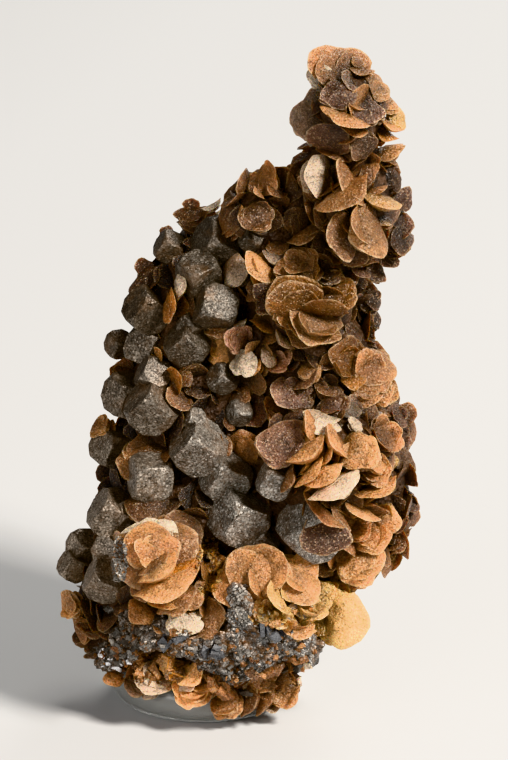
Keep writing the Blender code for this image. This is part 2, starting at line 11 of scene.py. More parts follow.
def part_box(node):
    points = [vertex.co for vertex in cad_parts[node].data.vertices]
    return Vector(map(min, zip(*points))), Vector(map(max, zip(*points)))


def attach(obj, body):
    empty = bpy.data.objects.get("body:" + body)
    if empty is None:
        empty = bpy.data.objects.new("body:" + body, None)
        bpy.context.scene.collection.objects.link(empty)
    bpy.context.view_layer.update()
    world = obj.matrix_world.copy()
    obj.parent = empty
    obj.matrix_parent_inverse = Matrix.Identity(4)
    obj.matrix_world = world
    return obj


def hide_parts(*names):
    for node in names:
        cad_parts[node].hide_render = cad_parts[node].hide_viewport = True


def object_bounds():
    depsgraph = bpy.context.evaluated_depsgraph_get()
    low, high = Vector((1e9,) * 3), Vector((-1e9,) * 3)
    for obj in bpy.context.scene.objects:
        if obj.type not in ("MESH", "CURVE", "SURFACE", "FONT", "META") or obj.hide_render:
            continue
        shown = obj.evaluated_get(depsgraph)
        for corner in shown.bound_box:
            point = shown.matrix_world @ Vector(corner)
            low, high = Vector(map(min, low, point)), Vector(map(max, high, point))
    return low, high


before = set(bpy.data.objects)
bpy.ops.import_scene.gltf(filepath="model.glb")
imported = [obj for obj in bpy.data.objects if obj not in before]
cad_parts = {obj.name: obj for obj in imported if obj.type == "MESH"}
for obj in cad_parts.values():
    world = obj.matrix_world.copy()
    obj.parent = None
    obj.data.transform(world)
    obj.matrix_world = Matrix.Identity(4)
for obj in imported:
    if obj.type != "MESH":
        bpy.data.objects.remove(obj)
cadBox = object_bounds()
mm = 0.001

# The specimen is laid out as its display face shows it, looking this far down on it.
viewDown = math.radians(20.0)
toRight = np.array([1.0, 0.0, 0.0])
toTop = np.array([0.0, math.sin(viewDown), math.cos(viewDown)])
toViewer = np.array([0.0, -math.cos(viewDown), math.sin(viewDown)])

# Camera: a long lens square on to the display face, in mm.
cameraSetup = {"lens": 400.0, "sensor": 36.0, "frameHeight": 103.3, "across": 6.8, "up": 42.2}

# Colours of the siderite, from the dark of painted shade in its hollows to its pale rims.
stoneColours = {
    "dark": (0.050, 0.028, 0.018),
    "brown": (0.130, 0.062, 0.028),
    "umber": (0.225, 0.108, 0.047),
    "mauve": (0.168, 0.090, 0.058),
    "ash": (0.280, 0.200, 0.140),
    "tan": (0.400, 0.192, 0.080),
    "peach": (0.510, 0.260, 0.110),
    "amber": (0.400, 0.165, 0.035),
    "honey": (0.630, 0.380, 0.150),
    "bone": (0.500, 0.400, 0.300),
    "cream": (0.740, 0.580, 0.420),
}
outside = 60.0  # mm towards the viewer, past every part of the specimen


def galenaSurface():
    # One search tree over every galena node, so that siderite keeps off their faces.
    verts, faces = [], []
    for name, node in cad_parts.items():
        if name.startswith("galena"):
            base = len(verts)
            verts += [node.matrix_world @ v.co for v in node.data.vertices]
            faces += [[base + i for i in p.vertices] for p in node.data.polygons]
    return BVHTree.FromPolygons(verts, faces)


galenaTree = galenaSurface()


def unit(vectors):
    return vectors / np.linalg.norm(vectors, axis=-1, keepdims=True)


def facePoint(across, up, depth):
    # World point, in mm, seen at (across, up) and lying `depth` behind the middle of the base.
    height = (up - depth * math.sin(viewDown)) / math.cos(viewDown)
    return np.array([across, depth, height])


def aimCamera():
    lens = bpy.data.cameras.new("specimenLens")
    lens.lens = cameraSetup["lens"]
    lens.sensor_width = cameraSetup["sensor"]
    lens.clip_start = 0.01
    eye = bpy.data.objects.new("specimenCamera", lens)
    bpy.context.scene.collection.objects.link(eye)
    away = cameraSetup["frameHeight"] * cameraSetup["lens"] / cameraSetup["sensor"]
    spot = cameraSetup["across"] * toRight + cameraSetup["up"] * toTop + away * toViewer
    turn = Matrix([toRight, toTop, toViewer]).transposed().to_4x4()
    eye.matrix_world = Matrix.Translation(Vector(spot * mm)) @ turn
    bpy.context.scene.camera = eye


aimCamera()
print("camera aimed")

# The core that everything grows on: across, up, depth, then half-sizes along X, Y and Z, in mm.
core = [
    (0.3, 14.0, -1.0, 16.6, 13.6, 10.0),
    (-1.4, 23.5, 3.0, 13.0, 12.6, 13.0),
    (15.0, 27.0, 1.5, 13.3, 11.5, 14.0),
    (8.4, 14.0, -1.0, 10.6, 12.0, 8.5),
    (-0.4, 38.0, 6.0, 10.7, 10.5, 14.0),
    (14.8, 42.0, 4.5, 9.4, 9.5, 13.0),
    (0.6, 51.0, 8.0, 9.3, 8.5, 11.4),
    (12.5, 56.0, 5.5, 9.3, 8.0, 11.0),
    (18.8, 66.5, 4.0, 6.6, 5.8, 10.0),
    (19.4, 76.4, 2.0, 4.4, 4.0, 7.4),
    (0.5, 4.5, -9.6, 11.4, 5.0, 5.0),
]
# Bosses under the rosettes: across, up, depth and radius, in mm.
bosses = [
    (19.3, 78.8, 0.6, 4.2), (19.8, 64.0, 0.0, 5.2), (8.4, 65.0, 4.4, 4.6), (13.5, 53.0, -0.4, 6.2),
    (7.2, 46.4, 0.6, 5.0), (20.6, 42.2, 0.5, 4.4), (16.4, 31.4, -5.0, 8.8), (20.6, 21.4, -4.0, 4.8),
    (-4.8, 17.4, -9.6, 5.4), (9.4, 12.8, -10.0, 6.4), (16.6, 10.8, -8.4, 2.8),
    (-14.0, 9.2, 1.0, 3.6), (24.6, 62.0, 6.0, 3.2), (24.4, 36.4, 3.0, 3.4),
]
middles = np.array([facePoint(*row[:3]) for row in core + bosses])
halfSizes = np.array([row[3:] if len(row) == 6 else (row[3],) * 3 for row in core + bosses])


def seat(across, up, proud):
    # Spot seen at (across, up), `proud` in front of the core: the nearest of the ray's hits on the
    # ellipsoids, or where the ray passes closest to one of them.
    start = across * toRight + up * toTop
    line = toViewer / halfSizes
    offset = (start - middles) / halfSizes
    square = (line * line).sum(1)
    cross = (line * offset).sum(1)
    rest = (offset * offset).sum(1) - 1.0
    inside = cross * cross - square * rest
    if inside.max() > 0.0:
        way = np.where(inside > 0.0, (np.sqrt(np.maximum(inside, 0.0)) - cross) / square, -1e9).max()
    else:
        closest = np.argmin(rest - cross * cross / square)
        way = -cross[closest] / square[closest]
    return start + (way + proud) * toViewer


def bladeAxes(slant, opened):
    # Long axis, cross axis and normal of blades whose edge slants so and that open so to the viewer.
    slant, opened = np.radians(slant)[:, None], np.radians(opened)[:, None]
    along = np.cos(slant) * toRight + np.sin(slant) * toTop
    side = -np.sin(slant) * toRight + np.cos(slant) * toTop
    normal = np.cos(opened) * side + np.sin(opened) * toViewer
    return np.stack([along, np.cross(normal, along), normal], axis=1)


def addMesh(name, verts, quads, tris, smooth=True):
    mesh = bpy.data.meshes.new(name)
    mesh.vertices.add(len(verts))
    mesh.vertices.foreach_set("co", np.ascontiguousarray(verts, dtype=np.float32).ravel())
    corners = np.concatenate([quads.ravel(), tris.ravel()])
    mesh.loops.add(len(corners))
    mesh.loops.foreach_set("vertex_index", corners.astype(np.int32))
    starts = np.concatenate([np.arange(len(quads)) * 4, len(quads) * 4 + np.arange(len(tris)) * 3])
    mesh.polygons.add(len(starts))
    mesh.polygons.foreach_set("loop_start", starts.astype(np.int32))
    mesh.polygons.foreach_set("use_smooth", np.full(len(starts), smooth))
    mesh.update(calc_edges=True)
    piece = bpy.data.objects.new(name, mesh)
    bpy.context.scene.collection.objects.link(piece)
    return piece


def poleNet(turns, rows):
    # Faces of a closed round form: a pole, `rows` rings of `turns` points, and the other pole.
    ring, step = np.meshgrid(np.arange(rows - 1), np.arange(turns), indexing="ij")
    here = 1 + ring * turns + step
    onward = 1 + ring * turns + (step + 1) % turns
    quads = np.stack([here, here + turns, onward + turns, onward], axis=-1).reshape(-1, 4)
    around, last = np.arange(turns), 1 + (rows - 1) * turns
    top = np.stack([np.zeros(turns, int), 1 + around, 1 + (around + 1) % turns], axis=-1)
    low = np.stack([np.full(turns, last + turns), last + (around + 1) % turns, last + around], axis=-1)
    return quads, np.concatenate([top, low])


def coreDepth(points):
    # How far points stand off the core, in mm: the least of (scaled distance - 1) * mean half-size.
    gap = np.full(len(points), 1e9)
    for middle, half in zip(middles, halfSizes):
        scaled = np.linalg.norm((points - middle) / half, axis=1)
        gap = np.minimum(gap, (scaled - 1.0) * half.mean())
    return gap


def addPaint(piece, label, colours, repeats):
    paint = piece.data.attributes.new(label, "FLOAT_COLOR", "POINT")
    rows = np.concatenate([colours, np.ones((len(colours), 1))], axis=1)
    paint.data.foreach_set("color", np.repeat(rows, repeats, axis=0).astype(np.float32).ravel())


def addMark(piece, label, values):
    mark = piece.data.attributes.new(label, "FLOAT", "POINT")
    mark.data.foreach_set("value", np.ascontiguousarray(values, dtype=np.float32))


def lensBlades(name, spots, axes, radii, colours, plump, shape, rng):
    # Each blade is a lens: reach u runs from 0 at the middle to 1 at the rim, and the two sides
    # rise by half * (1 - u^2)^1.1 to a knife edge. The rim is a superellipse, (|cos|^p + |sin|^p)^(-1/p)
    # with p under 2, so it comes to soft points. It wanders by slow sines of the angle, is crimped
    # by fast ones, and dips in two notches shaped like exp(-angle^2). The plate is bent like a
    # saddle, cupped by u^2, and undulates by sines of angle and reach.
    count, turns, rings = len(spots), shape["turns"], shape["rings"]
    quads, tris = poleNet(turns, 2 * rings - 1)
    reach = np.linspace(0.0, 1.0, rings + 1)[1:] ** 0.75
    u = np.concatenate([[0.0], reach, reach[-2::-1], [0.0]])
    side = np.concatenate([np.ones(rings), [0.0], -np.ones(rings)])
    angle = np.arange(turns) * 2.0 * math.pi / turns
    u = u[None, :, None]
    side = side[None, :, None]
    angle = angle[None, None, :]
    phase = rng.uniform(0.0, 2.0 * math.pi, (14, count, 1, 1))
    lot = rng.uniform(0.6, 1.4, (6, count, 1, 1))
    slow = 0.06 * lot[0] * np.sin(2 * angle + phase[0]) + 0.06 * lot[1] * np.sin(3 * angle + phase[1])
    slow = slow + 0.035 * np.sin(5 * angle + phase[7])
    fast = np.sin(8 * angle + phase[2]) + 0.8 * np.sin(11 * angle + phase[3])
    fast = fast + 0.8 * np.sin(15 * angle + phase[8])
    rim = shape["wander"] * slow + shape["crimp"] * fast
    for turn, depth in ((phase[9], phase[10]), (phase[11], phase[12])):
        off = (angle - turn + math.pi) % (2.0 * math.pi) - math.pi
        rim = rim - shape["notch"] * np.abs(np.sin(depth)) * np.exp(-((off / shape["notchWidth"]) ** 2))
    power = shape["squareness"] * rng.uniform(0.85, 1.2, (count, 1, 1))
    diamond = (np.abs(np.cos(angle)) ** power + np.abs(np.sin(angle)) ** power) ** (-1.0 / power)
    spread = u * (1.0 + (rim + diamond - 1.0) * u * u)
    x = spread * np.cos(angle)
    y = spread * np.sin(angle) * shape["width"]
    thick = shape["half"] * plump[:, None, None] * lot[2] * (1.0 - u * u) ** 1.1
    swell = 1.0 + shape["swell"] * np.sin(3 * angle + 5.0 * u + phase[4]) * np.sin(7.0 * u + phase[13])
    bend = shape["saddle"] * (lot[3] * (x * x - y * y) + 0.6 * np.sin(phase[6]) * x * y)
    cup = shape["cup"] * np.sin(phase[5]) * u * u
    flute = shape["flute"] * np.sin(4 * angle + phase[7]) * u**3
    z = side * thick * swell + bend + cup + flute
    local = np.stack([x, y, z], axis=-1)
    rows = np.concatenate([local[:, 0, :1], local[:, 1:-1].reshape(count, -1, 3), local[:, -1, :1]], axis=1)
    placed = spots[:, None, :] + radii[:, None, None] * np.einsum("nvk,nkj->nvj", rows, axes)
    perBlade = rows.shape[1]
    shift = (np.arange(count) * perBlade)[:, None, None]
    points = placed.reshape(-1, 3)
    piece = addMesh(name, points * mm, (quads + shift).reshape(-1, 4), (tris + shift).reshape(-1, 3))
    uOne = np.concatenate([[0.0], np.repeat(u[0, 1:-1, 0], turns), [0.0]])
    addMark(piece, "bladeRim", np.tile(uOne, count))
    addMark(piece, "bladeDepth", coreDepth(points))
    addPaint(piece, "bladeColour", colours, perBlade)
    ends = np.empty(2 * len(piece.data.edges), dtype=np.int32)
    piece.data.edges.foreach_get("vertices", ends)
    onRim = np.tile(uOne > 0.999, count)[ends].reshape(-1, 2).all(axis=1)
    piece.data.attributes.new("sharp_edge", "BOOLEAN", "EDGE").data.foreach_set("value", onRim)
    return piece


# Rosette blades on the display face: across, up and radius in mm, the slant of the long axis in
# degrees, how far the face left of it opens to the viewer (0 edge on, 90 flat on), the colour, and
# how far it stands in front of the core, in mm.
rosettes = {
    "top": [
        (18.1, 83.3, 4.2, -25, 68, "tan", -0.3), (19.6, 83.5, 2.3, -60, 50, "umber", 0.2),
        (15.6, 82.3, 1.9, 66, 72, "bone", 1.4), (14.9, 77.2, 3.9, 80, 60, "ash", -0.2),
        (16.9, 74.2, 3.0, 155, 50, "mauve", 0), (17.9, 80.0, 2.6, 20, 62, "mauve", 0.2),
        (21.8, 77.7, 2.2, -14, 62, "mauve", 0.3), (19.3, 76.6, 3.0, -18, 18, "tan", 0.6),
        (17.0, 77.8, 1.7, -21, 20, "peach", 0.8), (17.8, 78.3, 1.5, 141, 45, "umber", 0),
        (19.9, 74.2, 2.0, 32, 24, "umber", 0.2), (21.2, 73.3, 2.2, -127, 50, "brown", -0.3),
        (24.3, 72.7, 2.9, 16, 34, "peach", 0.4), (24.2, 74.7, 1.9, -26, 24, "amber", 0.5),
        (20.6, 84.4, 1.1, -30, 40, "peach", 0.6), (21.2, 83.0, 1.7, -6, 30, "peach", 1.3),
        (22.6, 82.0, 1.4, -34, 45, "peach", 1.0), (23.5, 80.4, 1.7, -48, 52, "peach", 1.4),
        (24.8, 78.8, 1.6, -44, 46, "peach", 1.2), (26.0, 77.0, 1.5, -66, 56, "honey", 1.0),
        (25.0, 75.8, 1.8, -29, 30, "peach", 1.4), (23.3, 79.3, 1.6, -56, 50, "mauve", -0.2),
        (23.7, 76.5, 0.8, 45, 34, "cream", 0.8), (18.1, 81.7, 1.3, -9, 50, "umber", -0.3),
    ],
    "star": [
        (15.3, 69.4, 3.1, -99, 40, "bone", 0.8), (15.1, 67.4, 2.9, 144, 60, "umber", 0),
        (19.4, 68.2, 3.6, -63, 20, "tan", 1.2), (18.8, 66.5, 4.6, 34, 20, "tan", 0.8),
        (21.6, 69.5, 2.0, 16, 60, "tan", 0), (22.9, 67.3, 1.8, 20, 24, "peach", 0.6),
        (23.7, 65.7, 2.8, -15, 24, "honey", 0.9), (22.4, 61.8, 3.7, -74, 46, "peach", 0.6),
        (20.3, 62.9, 3.1, -78, 18, "tan", 0.9), (18.5, 61.4, 3.4, -90, 40, "umber", 0.3),
        (15.8, 59.9, 2.5, -96, 45, "brown", 0.2), (12.9, 63.3, 2.3, -131, 52, "umber", 0),
        (13.7, 61.7, 2.7, 35, 30, "tan", 0.6), (20.7, 57.0, 2.2, -49, 34, "mauve", 0.2),
        (17.6, 58.4, 1.1, -43, 40, "tan", 0.2), (25.1, 69.1, 2.1, -66, 58, "brown", -0.4),
        (26.8, 66.4, 1.8, -95, 50, "mauve", -0.4), (24.3, 63.2, 1.2, -38, 48, "umber", 0),
        (23.1, 56.6, 1.7, -67, 50, "brown", 0), (26.2, 63.8, 1.7, -60, 50, "mauve", -0.4),
        (26.3, 60.8, 1.9, -78, 52, "brown", -0.4), (25.0, 58.4, 1.7, -58, 46, "brown", -0.2),
    ],
    "shoulder": [
        (8.4, 68.7, 2.6, 65, 46, "tan", 0), (11.6, 67.7, 3.2, 78, 52, "brown", -0.2),
        (9.7, 67.2, 1.6, -26, 32, "umber", 0.4), (7.4, 67.1, 1.1, -50, 22, "tan", 0.6),
        (7.2, 63.9, 2.5, 17, 70, "brown", 0.2), (5.0, 64.6, 0.9, 77, 24, "peach", 0.6),
        (3.5, 63.9, 3.0, 84, 36, "umber", 0), (4.4, 61.8, 1.7, 93, 32, "peach", 0.6),
        (1.3, 65.5, 1.5, 28, 26, "cream", 0.3), (1.5, 64.2, 1.0, -15, 45, "umber", 0),
        (9.9, 59.9, 1.6, 8, 45, "umber", 0),
    ],
    "crest": [
        (-1.7, 64.3, 2.3, 13, 46, "brown", 0), (-1.4, 62.4, 2.0, -13, 30, "brown", 0.5),
        (-1.4, 60.7, 1.2, 14, 50, "brown", 0.2), (-5.0, 61.1, 1.9, 77, 50, "mauve", -0.4),
        (-3.0, 54.9, 2.3, 84, 26, "cream", 0.5), (-7.6, 55.4, 3.2, 48, 46, "brown", 0),
        (-4.7, 51.9, 2.6, 80, 30, "amber", 1.0),
    ],
    "leaf": [
        (4.3, 56.8, 2.5, 73, 48, "cream", 0.4), (7.8, 57.1, 2.7, -41, 38, "peach", 0.9),
        (9.8, 58.9, 1.9, -15, 40, "ash", 0), (12.6, 57.5, 3.0, 18, 60, "umber", 0),
        (6.8, 53.7, 1.3, 60, 50, "umber", 0),
    ],
    "amber": [
        (8.9, 52.9, 2.6, 61, 55, "mauve", 0.5), (12.2, 52.4, 4.0, -158, 42, "amber", 0.8),
        (12.8, 54.5, 1.8, 17, 36, "tan", 0.4), (16.7, 56.3, 2.0, -12, 45, "umber", 0.2),
        (16.3, 51.7, 3.6, 176, 34, "amber", 0.9), (17.9, 53.4, 2.9, 17, 60, "amber", 0.2),
        (21.2, 51.2, 1.4, -102, 32, "tan", 0.2), (14.7, 49.2, 3.9, -36, 40, "peach", 1.2),
        (16.9, 44.9, 1.4, -156, 46, "amber", 0.2), (18.8, 45.3, 2.9, -99, 46, "amber", 0.2),
        (10.3, 49.7, 1.2, -30, 30, "tan", 0.3), (20.0, 48.5, 1.6, -63, 36, "tan", 0),
        (17.8, 49.1, 1.2, -47, 45, "mauve", 0.2), (22.6, 53.0, 2.1, -82, 50, "brown", -0.3),
        (23.0, 50.4, 1.5, -76, 48, "brown", -0.2), (13.9, 56.2, 2.1, 10, 50, "amber", 0),
    ],
    "fan": [
        (22.7, 43.4, 3.5, -35, 68, "tan", 0.3), (20.2, 42.3, 1.7, 8, 46, "amber", 0.5),
        (14.3, 43.3, 1.7, 29, 55, "peach", 0.2), (24.6, 40.6, 1.9, 27, 50, "peach", 0.3),
        (21.9, 40.3, 2.2, -12, 55, "tan", 0.3), (20.7, 45.5, 2.0, -59, 50, "amber", 0),
    ],
    "waist": [
        (4.4, 49.1, 1.8, 36, 26, "cream", 0.5), (4.6, 47.8, 2.1, -121, 60, "mauve", 0.2),
        (2.3, 46.0, 2.2, 66, 50, "peach", 0.2), (5.4, 44.4, 2.1, 60, 50, "cream", 0.5),
        (7.2, 43.9, 1.2, 72, 26, "tan", 0.3), (10.6, 47.6, 2.0, -53, 30, "ash", 0.2),
        (10.3, 44.4, 1.9, 33, 46, "mauve", 0.2), (12.3, 47.6, 1.4, -63, 30, "mauve", 0.2),
        (1.6, 43.6, 1.2, 39, 45, "umber", 0), (8.8, 45.3, 1.5, -50, 40, "ash", 0),
    ],
    "front": [
        (10.5, 33.8, 3.5, 24, 72, "mauve", 0.9), (5.7, 32.9, 2.7, 123, 60, "tan", 0.3),
        (6.5, 37.9, 2.5, 32, 60, "mauve", 0.1), (10.1, 37.8, 2.2, -28, 46, "umber", 0.5),
        (11.9, 40.3, 3.0, -12, 56, "mauve", 0), (16.8, 40.9, 2.0, -18, 50, "brown", 0),
        (13.0, 39.0, 1.8, 21, 50, "umber", 0.4), (17.5, 38.9, 2.3, 15, 45, "mauve", 0.2),
        (19.6, 38.4, 1.8, -52, 45, "ash", 0.3), (15.8, 36.8, 2.7, -24, 36, "cream", 0.8),
        (20.4, 36.4, 1.2, -44, 40, "cream", 0.8), (22.5, 37.8, 1.5, -19, 36, "cream", 0.4),
        (14.3, 36.0, 2.3, -77, 18, "tan", 1.3), (17.3, 34.0, 2.7, -63, 22, "tan", 1.2),
        (14.2, 32.5, 3.3, 37, 18, "tan", 1.3), (14.2, 29.8, 2.8, 48, 20, "peach", 1.4),
        (16.6, 32.1, 1.8, 62, 20, "tan", 1.3), (16.2, 29.5, 3.0, 31, 20, "peach", 1.5),
        (17.6, 28.3, 3.7, 28, 34, "cream", 1.6), (11.5, 29.0, 2.2, 67, 30, "brown", 0.6),
        (20.8, 32.7, 3.1, 42, 66, "peach", 0.5), (24.2, 34.7, 2.8, -55, 56, "tan", 0.3),
        (25.2, 31.2, 1.1, 24, 55, "honey", 0.8), (22.8, 31.1, 1.9, -48, 42, "peach", 0.5),
        (23.2, 27.7, 3.3, 22, 30, "peach", 0.9), (23.1, 29.8, 2.3, 18, 46, "tan", 0.5),
        (21.1, 24.8, 2.5, -29, 28, "peach", 1.3), (18.2, 24.0, 2.4, -57, 30, "umber", 1.0),
        (15.9, 24.5, 3.7, -43, 22, "umber", 1.4), (20.9, 22.2, 2.1, 40, 60, "tan", 0.8),
        (24.1, 23.5, 2.4, 54, 60, "peach", 0.6), (22.7, 21.0, 2.6, 26, 54, "peach", 0.8),
        (19.5, 20.3, 1.9, -67, 26, "umber", 1.0), (20.9, 17.8, 3.6, 29, 58, "peach", 0.8),
        (20.3, 15.3, 1.9, -44, 50, "tan", 0.6), (2.2, 32.8, 2.1, -139, 50, "umber", 0),
        (3.5, 36.3, 1.0, -47, 36, "umber", 0.2), (5.0, 40.1, 1.7, 46, 50, "umber", 0),
        (23.5, 40.5, 2.2, 16, 64, "tan", 0.2), (17.2, 17.3, 1.1, 53, 45, "brown", 0.2),
        (26.0, 37.4, 1.8, -62, 50, "mauve", -0.3), (26.4, 34.2, 1.9, -78, 54, "mauve", -0.3),
        (26.6, 31.6, 1.6, -84, 48, "umber", -0.3), (26.3, 23.2, 1.8, 72, 50, "mauve", -0.4),
        (25.8, 20.2, 1.7, 58, 48, "umber", -0.3),
    ],
    "stain": [
        (16.1, 21.6, 3.3, 27, 84, "mauve", 0.6),
    ],
    "rose": [
        (-6.5, 19.4, 5.7, 10, 66, "umber", 0.0), (-2.8, 22.0, 3.1, -39, 50, "brown", 0.2),
        (-7.4, 20.1, 4.6, 25, 66, "cream", 0.8), (-6.9, 20.1, 3.8, 5, 72, "tan", 2.4),
        (-6.6, 19.3, 2.6, -30, 56, "peach", 3.2), (-6.2, 17.4, 2.5, 38, 26, "umber", 3.2),
        (-5.6, 16.9, 3.4, 38, 24, "peach", 3.0), (-1.9, 18.5, 2.2, 46, 46, "amber", 0.6),
        (-3.0, 17.1, 2.4, 15, 22, "amber", 1.0), (-4.6, 14.7, 4.7, 24, 26, "peach", 2.2),
        (-3.4, 12.8, 3.4, 35, 32, "umber", 1.0), (-1.8, 13.2, 2.2, 38, 46, "tan", 0.6),
        (-8.1, 11.1, 2.4, -38, 50, "tan", 0.8), (-2.5, 9.8, 2.4, 6, 62, "cream", 1.2),
        (1.0, 10.2, 2.8, 71, 50, "umber", 0.5), (-5.6, 9.3, 1.6, -24, 36, "umber", 0.8),
        (2.3, 7.9, 1.5, 34, 40, "tan", 0.6), (-11.0, 18.2, 3.6, 84, 40, "ash", 2.0),
    ],
    "knob": [
        (0.8, 19.5, 1.3, 28, 50, "amber", 0), (1.2, 17.3, 1.3, 25, 50, "amber", 0.2),
        (0.9, 15.0, 1.3, 32, 50, "amber", 0.2), (2.1, 17.9, 1.3, -58, 50, "umber", 0),
    ],
    "honey": [
        (6.5, 16.0, 5.1, 32, 68, "tan", 0.8), (12.4, 15.6, 3.9, -41, 50, "peach", 0.6),
        (7.0, 15.2, 2.1, -71, 26, "tan", 1.8), (9.8, 13.2, 2.7, -60, 30, "honey", 1.9),
        (14.2, 11.7, 2.4, -23, 36, "honey", 1.4), (8.1, 11.4, 1.8, -63, 45, "peach", 1.4),
        (6.4, 12.1, 1.7, -45, 45, "tan", 1.2), (12.5, 9.3, 2.6, -12, 40, "peach", 1.2),
        (10.5, 10.3, 2.0, -16, 40, "honey", 1.4), (5.0, 9.7, 1.2, -6, 50, "tan", 0.8),
        (15.5, 7.9, 1.9, -25, 40, "tan", 0.8),
    ],
    "ear": [
        (18.3, 10.1, 4.1, 77, 60, "honey", 0.5), (15.8, 13.4, 2.6, 14, 40, "honey", 0.7),
        (17.5, 7.9, 1.8, 27, 45, "honey", 0.5),
    ],
    "toe": [
        (1.6, 1.9, 2.5, -43, 26, "umber", 0.5), (3.3, -1.4, 2.4, 54, 60, "tan", 0.6),
        (6.5, -0.4, 3.1, 75, 26, "brown", 0.5), (8.4, -0.5, 2.8, 70, 26, "umber", 0.6),
        (11.0, 0.5, 2.8, 53, 56, "tan", 0.3), (9.4, -1.9, 1.2, 20, 36, "ash", 0.3),
        (12.0, 4.8, 2.5, 11, 40, "umber", 0.5), (11.1, 2.4, 1.5, 27, 40, "brown", 0.3),
    ],
    "heel": [
        (-3.7, 3.4, 2.0, -41, 40, "amber", 0.6), (-1.6, 2.6, 1.9, 42, 50, "peach", 1.0),
        (-1.2, 0.2, 2.7, 8, 48, "tan", 1.4), (-6.7, 2.4, 2.8, -35, 50, "ash", 0.2),
        (-9.4, 0.9, 1.7, -31, 45, "ash", 0.3), (-7.1, 0.4, 1.4, 41, 46, "ash", 0.2),
        (-12.1, 2.1, 1.4, -8, 45, "tan", 0), (-2.1, 1.7, 1.7, 39, 40, "ash", 0.4),
    ],
    "leftFoot": [
        (-18.1, 11.9, 2.1, 97, 44, "tan", 0), (-16.5, 8.5, 2.1, 110, 40, "tan", 0.2),
        (-14.9, 5.0, 1.3, 32, 40, "ash", 0), (-14.9, 9.2, 2.3, 18, 50, "brown", 0),
        (-11.1, 7.9, 1.9, 25, 50, "brown", 0),
    ],
    "disc": [
        (-7.5, 31.7, 4.4, 10, 56, "umber", 0), (-7.6, 25.4, 3.2, 9, 46, "brown", 0),
        (1.8, 33.1, 2.3, 56, 50, "umber", 0), (-14.2, 35.8, 1.7, 56, 46, "tan", 0.4),
        (-3.1, 39.6, 2.2, -40, 50, "umber", 0), (-3.1, 42.5, 1.8, 51, 50, "umber", 0),
    ],
    "ledge": [
        (-10.9, 43.0, 2.0, -6, 48, "umber", 1.4), (-6.6, 46.7, 1.9, 67, 46, "umber", 0),
        (-0.8, 52.0, 1.7, 48, 50, "umber", 0), (2.5, 49.7, 2.5, 31, 36, "umber", 0.2),
        (-1.6, 45.0, 1.7, 59, 45, "umber", 0), (-6.0, 45.6, 1.3, 110, 26, "amber", 1.6),
        (-3.6, 42.4, 2.0, 115, 32, "amber", 0.8),
    ],
}
faceRows = [(name, *row) for name, group in rosettes.items() for row in group]
bladeLook = {
    "turns": 36, "rings": 6, "half": 0.27, "width": 0.92, "saddle": 0.17, "cup": 0.14, "wander": 1.0,
    "crimp": 0.011, "notch": 0.13, "notchWidth": 0.16, "swell": 0.16, "flute": 0.03, "proud": 0.2,
    "squareness": 1.74,
}
leafLook = dict(bladeLook, turns=20, rings=3, half=0.19, crimp=0.018)
# Blades seen more edge on than this, in degrees, are plump seeds with no thin leaves beside them.
seedLook = {"opened": 35.0, "narrow": 0.5, "plump": 1.05, "leafStep": 0.3}
# Blades split off beside each rosette blade: step along its normal, sideways slide, tilt in
# radians, size and how far they sink into the cluster, all but the tilt as shares of its radius.
partners = [
    {"step": 0.20, "slide": 0.08, "tilt": 0.16, "size": 0.96, "drop": 0.06},
    {"step": -0.22, "slide": 0.10, "tilt": 0.18, "size": 0.98, "drop": 0.10},
    {"step": 0.50, "slide": 0.25, "tilt": 0.40, "size": 0.85, "drop": 0.32},
    {"step": -0.50, "slide": 0.25, "tilt": 0.40, "size": 0.85, "drop": 0.32},
    {"step": 0.10, "slide": 0.50, "tilt": 1.10, "size": 0.80, "drop": 0.50},
]


stainLook = {"toViewer": 2.5, "plump": 0.5}


def onGalena(across, up, proud):
    # Place and axes of a stain's blade: where the view meets a crystal, turned from its face to the viewer.
    start = Vector((across * toRight + up * toTop + outside * toViewer) * mm)
    hit, normal, _, _ = galenaTree.ray_cast(start, Vector(-toViewer))
    normal = unit(np.array(normal) + stainLook["toViewer"] * toViewer)
    along = unit(np.cross(toTop, normal))
    return np.array(hit) / mm + proud * normal, np.stack([along, np.cross(normal, along), normal])


# Room kept for the base, in mm: the height under which blades make way for it, how far from its
# axis they do so, the least height of a small blade, and how far one may pass the model's box.
baseRoom = {"top": 4.6, "rosettes": 12.3, "druses": 12.2, "floor": 0.4, "spill": 1.0, "step": 0.25}


def aheadOfBase(spot, radius):
    # Moves a blade towards the viewer until it stands clear of the base, if it hangs below its top.
    while (spot[2] - 0.8 * radius < baseRoom["top"]
           and math.hypot(spot[0], spot[1]) - 0.7 * radius < baseRoom["rosettes"]):
        spot = spot + baseRoom["step"] * toViewer
    return spot


# How light each rosette looks, as a share of its colours: its own tone with painted light and shade.
# Pale colours keep their own light.
rosetteToneAndLight = {
    "top": 0.82, "star": 0.6, "shoulder": 1.0, "crest": 0.75, "leaf": 1.2, "amber": 0.35, "fan": 0.85,
    "waist": 3.3, "front": 1.15, "stain": 0.55, "rose": 1.12, "knob": 0.9, "honey": 1.02, "ear": 1.5,
    "toe": 1.0, "heel": 1.9, "leftFoot": 1.2, "disc": 0.9, "ledge": 0.8,
}
paleColours = ("cream", "bone")
# Rosettes and colours whose blades carry no inner petals.
plainForms = {"groups": ("stain", "ear", "knob", "rose", "top", "star"), "colours": ("cream", "ash")}


def plainRows():
    return np.array([row[0] in plainForms["groups"] or row[6] in plainForms["colours"] for row in faceRows])


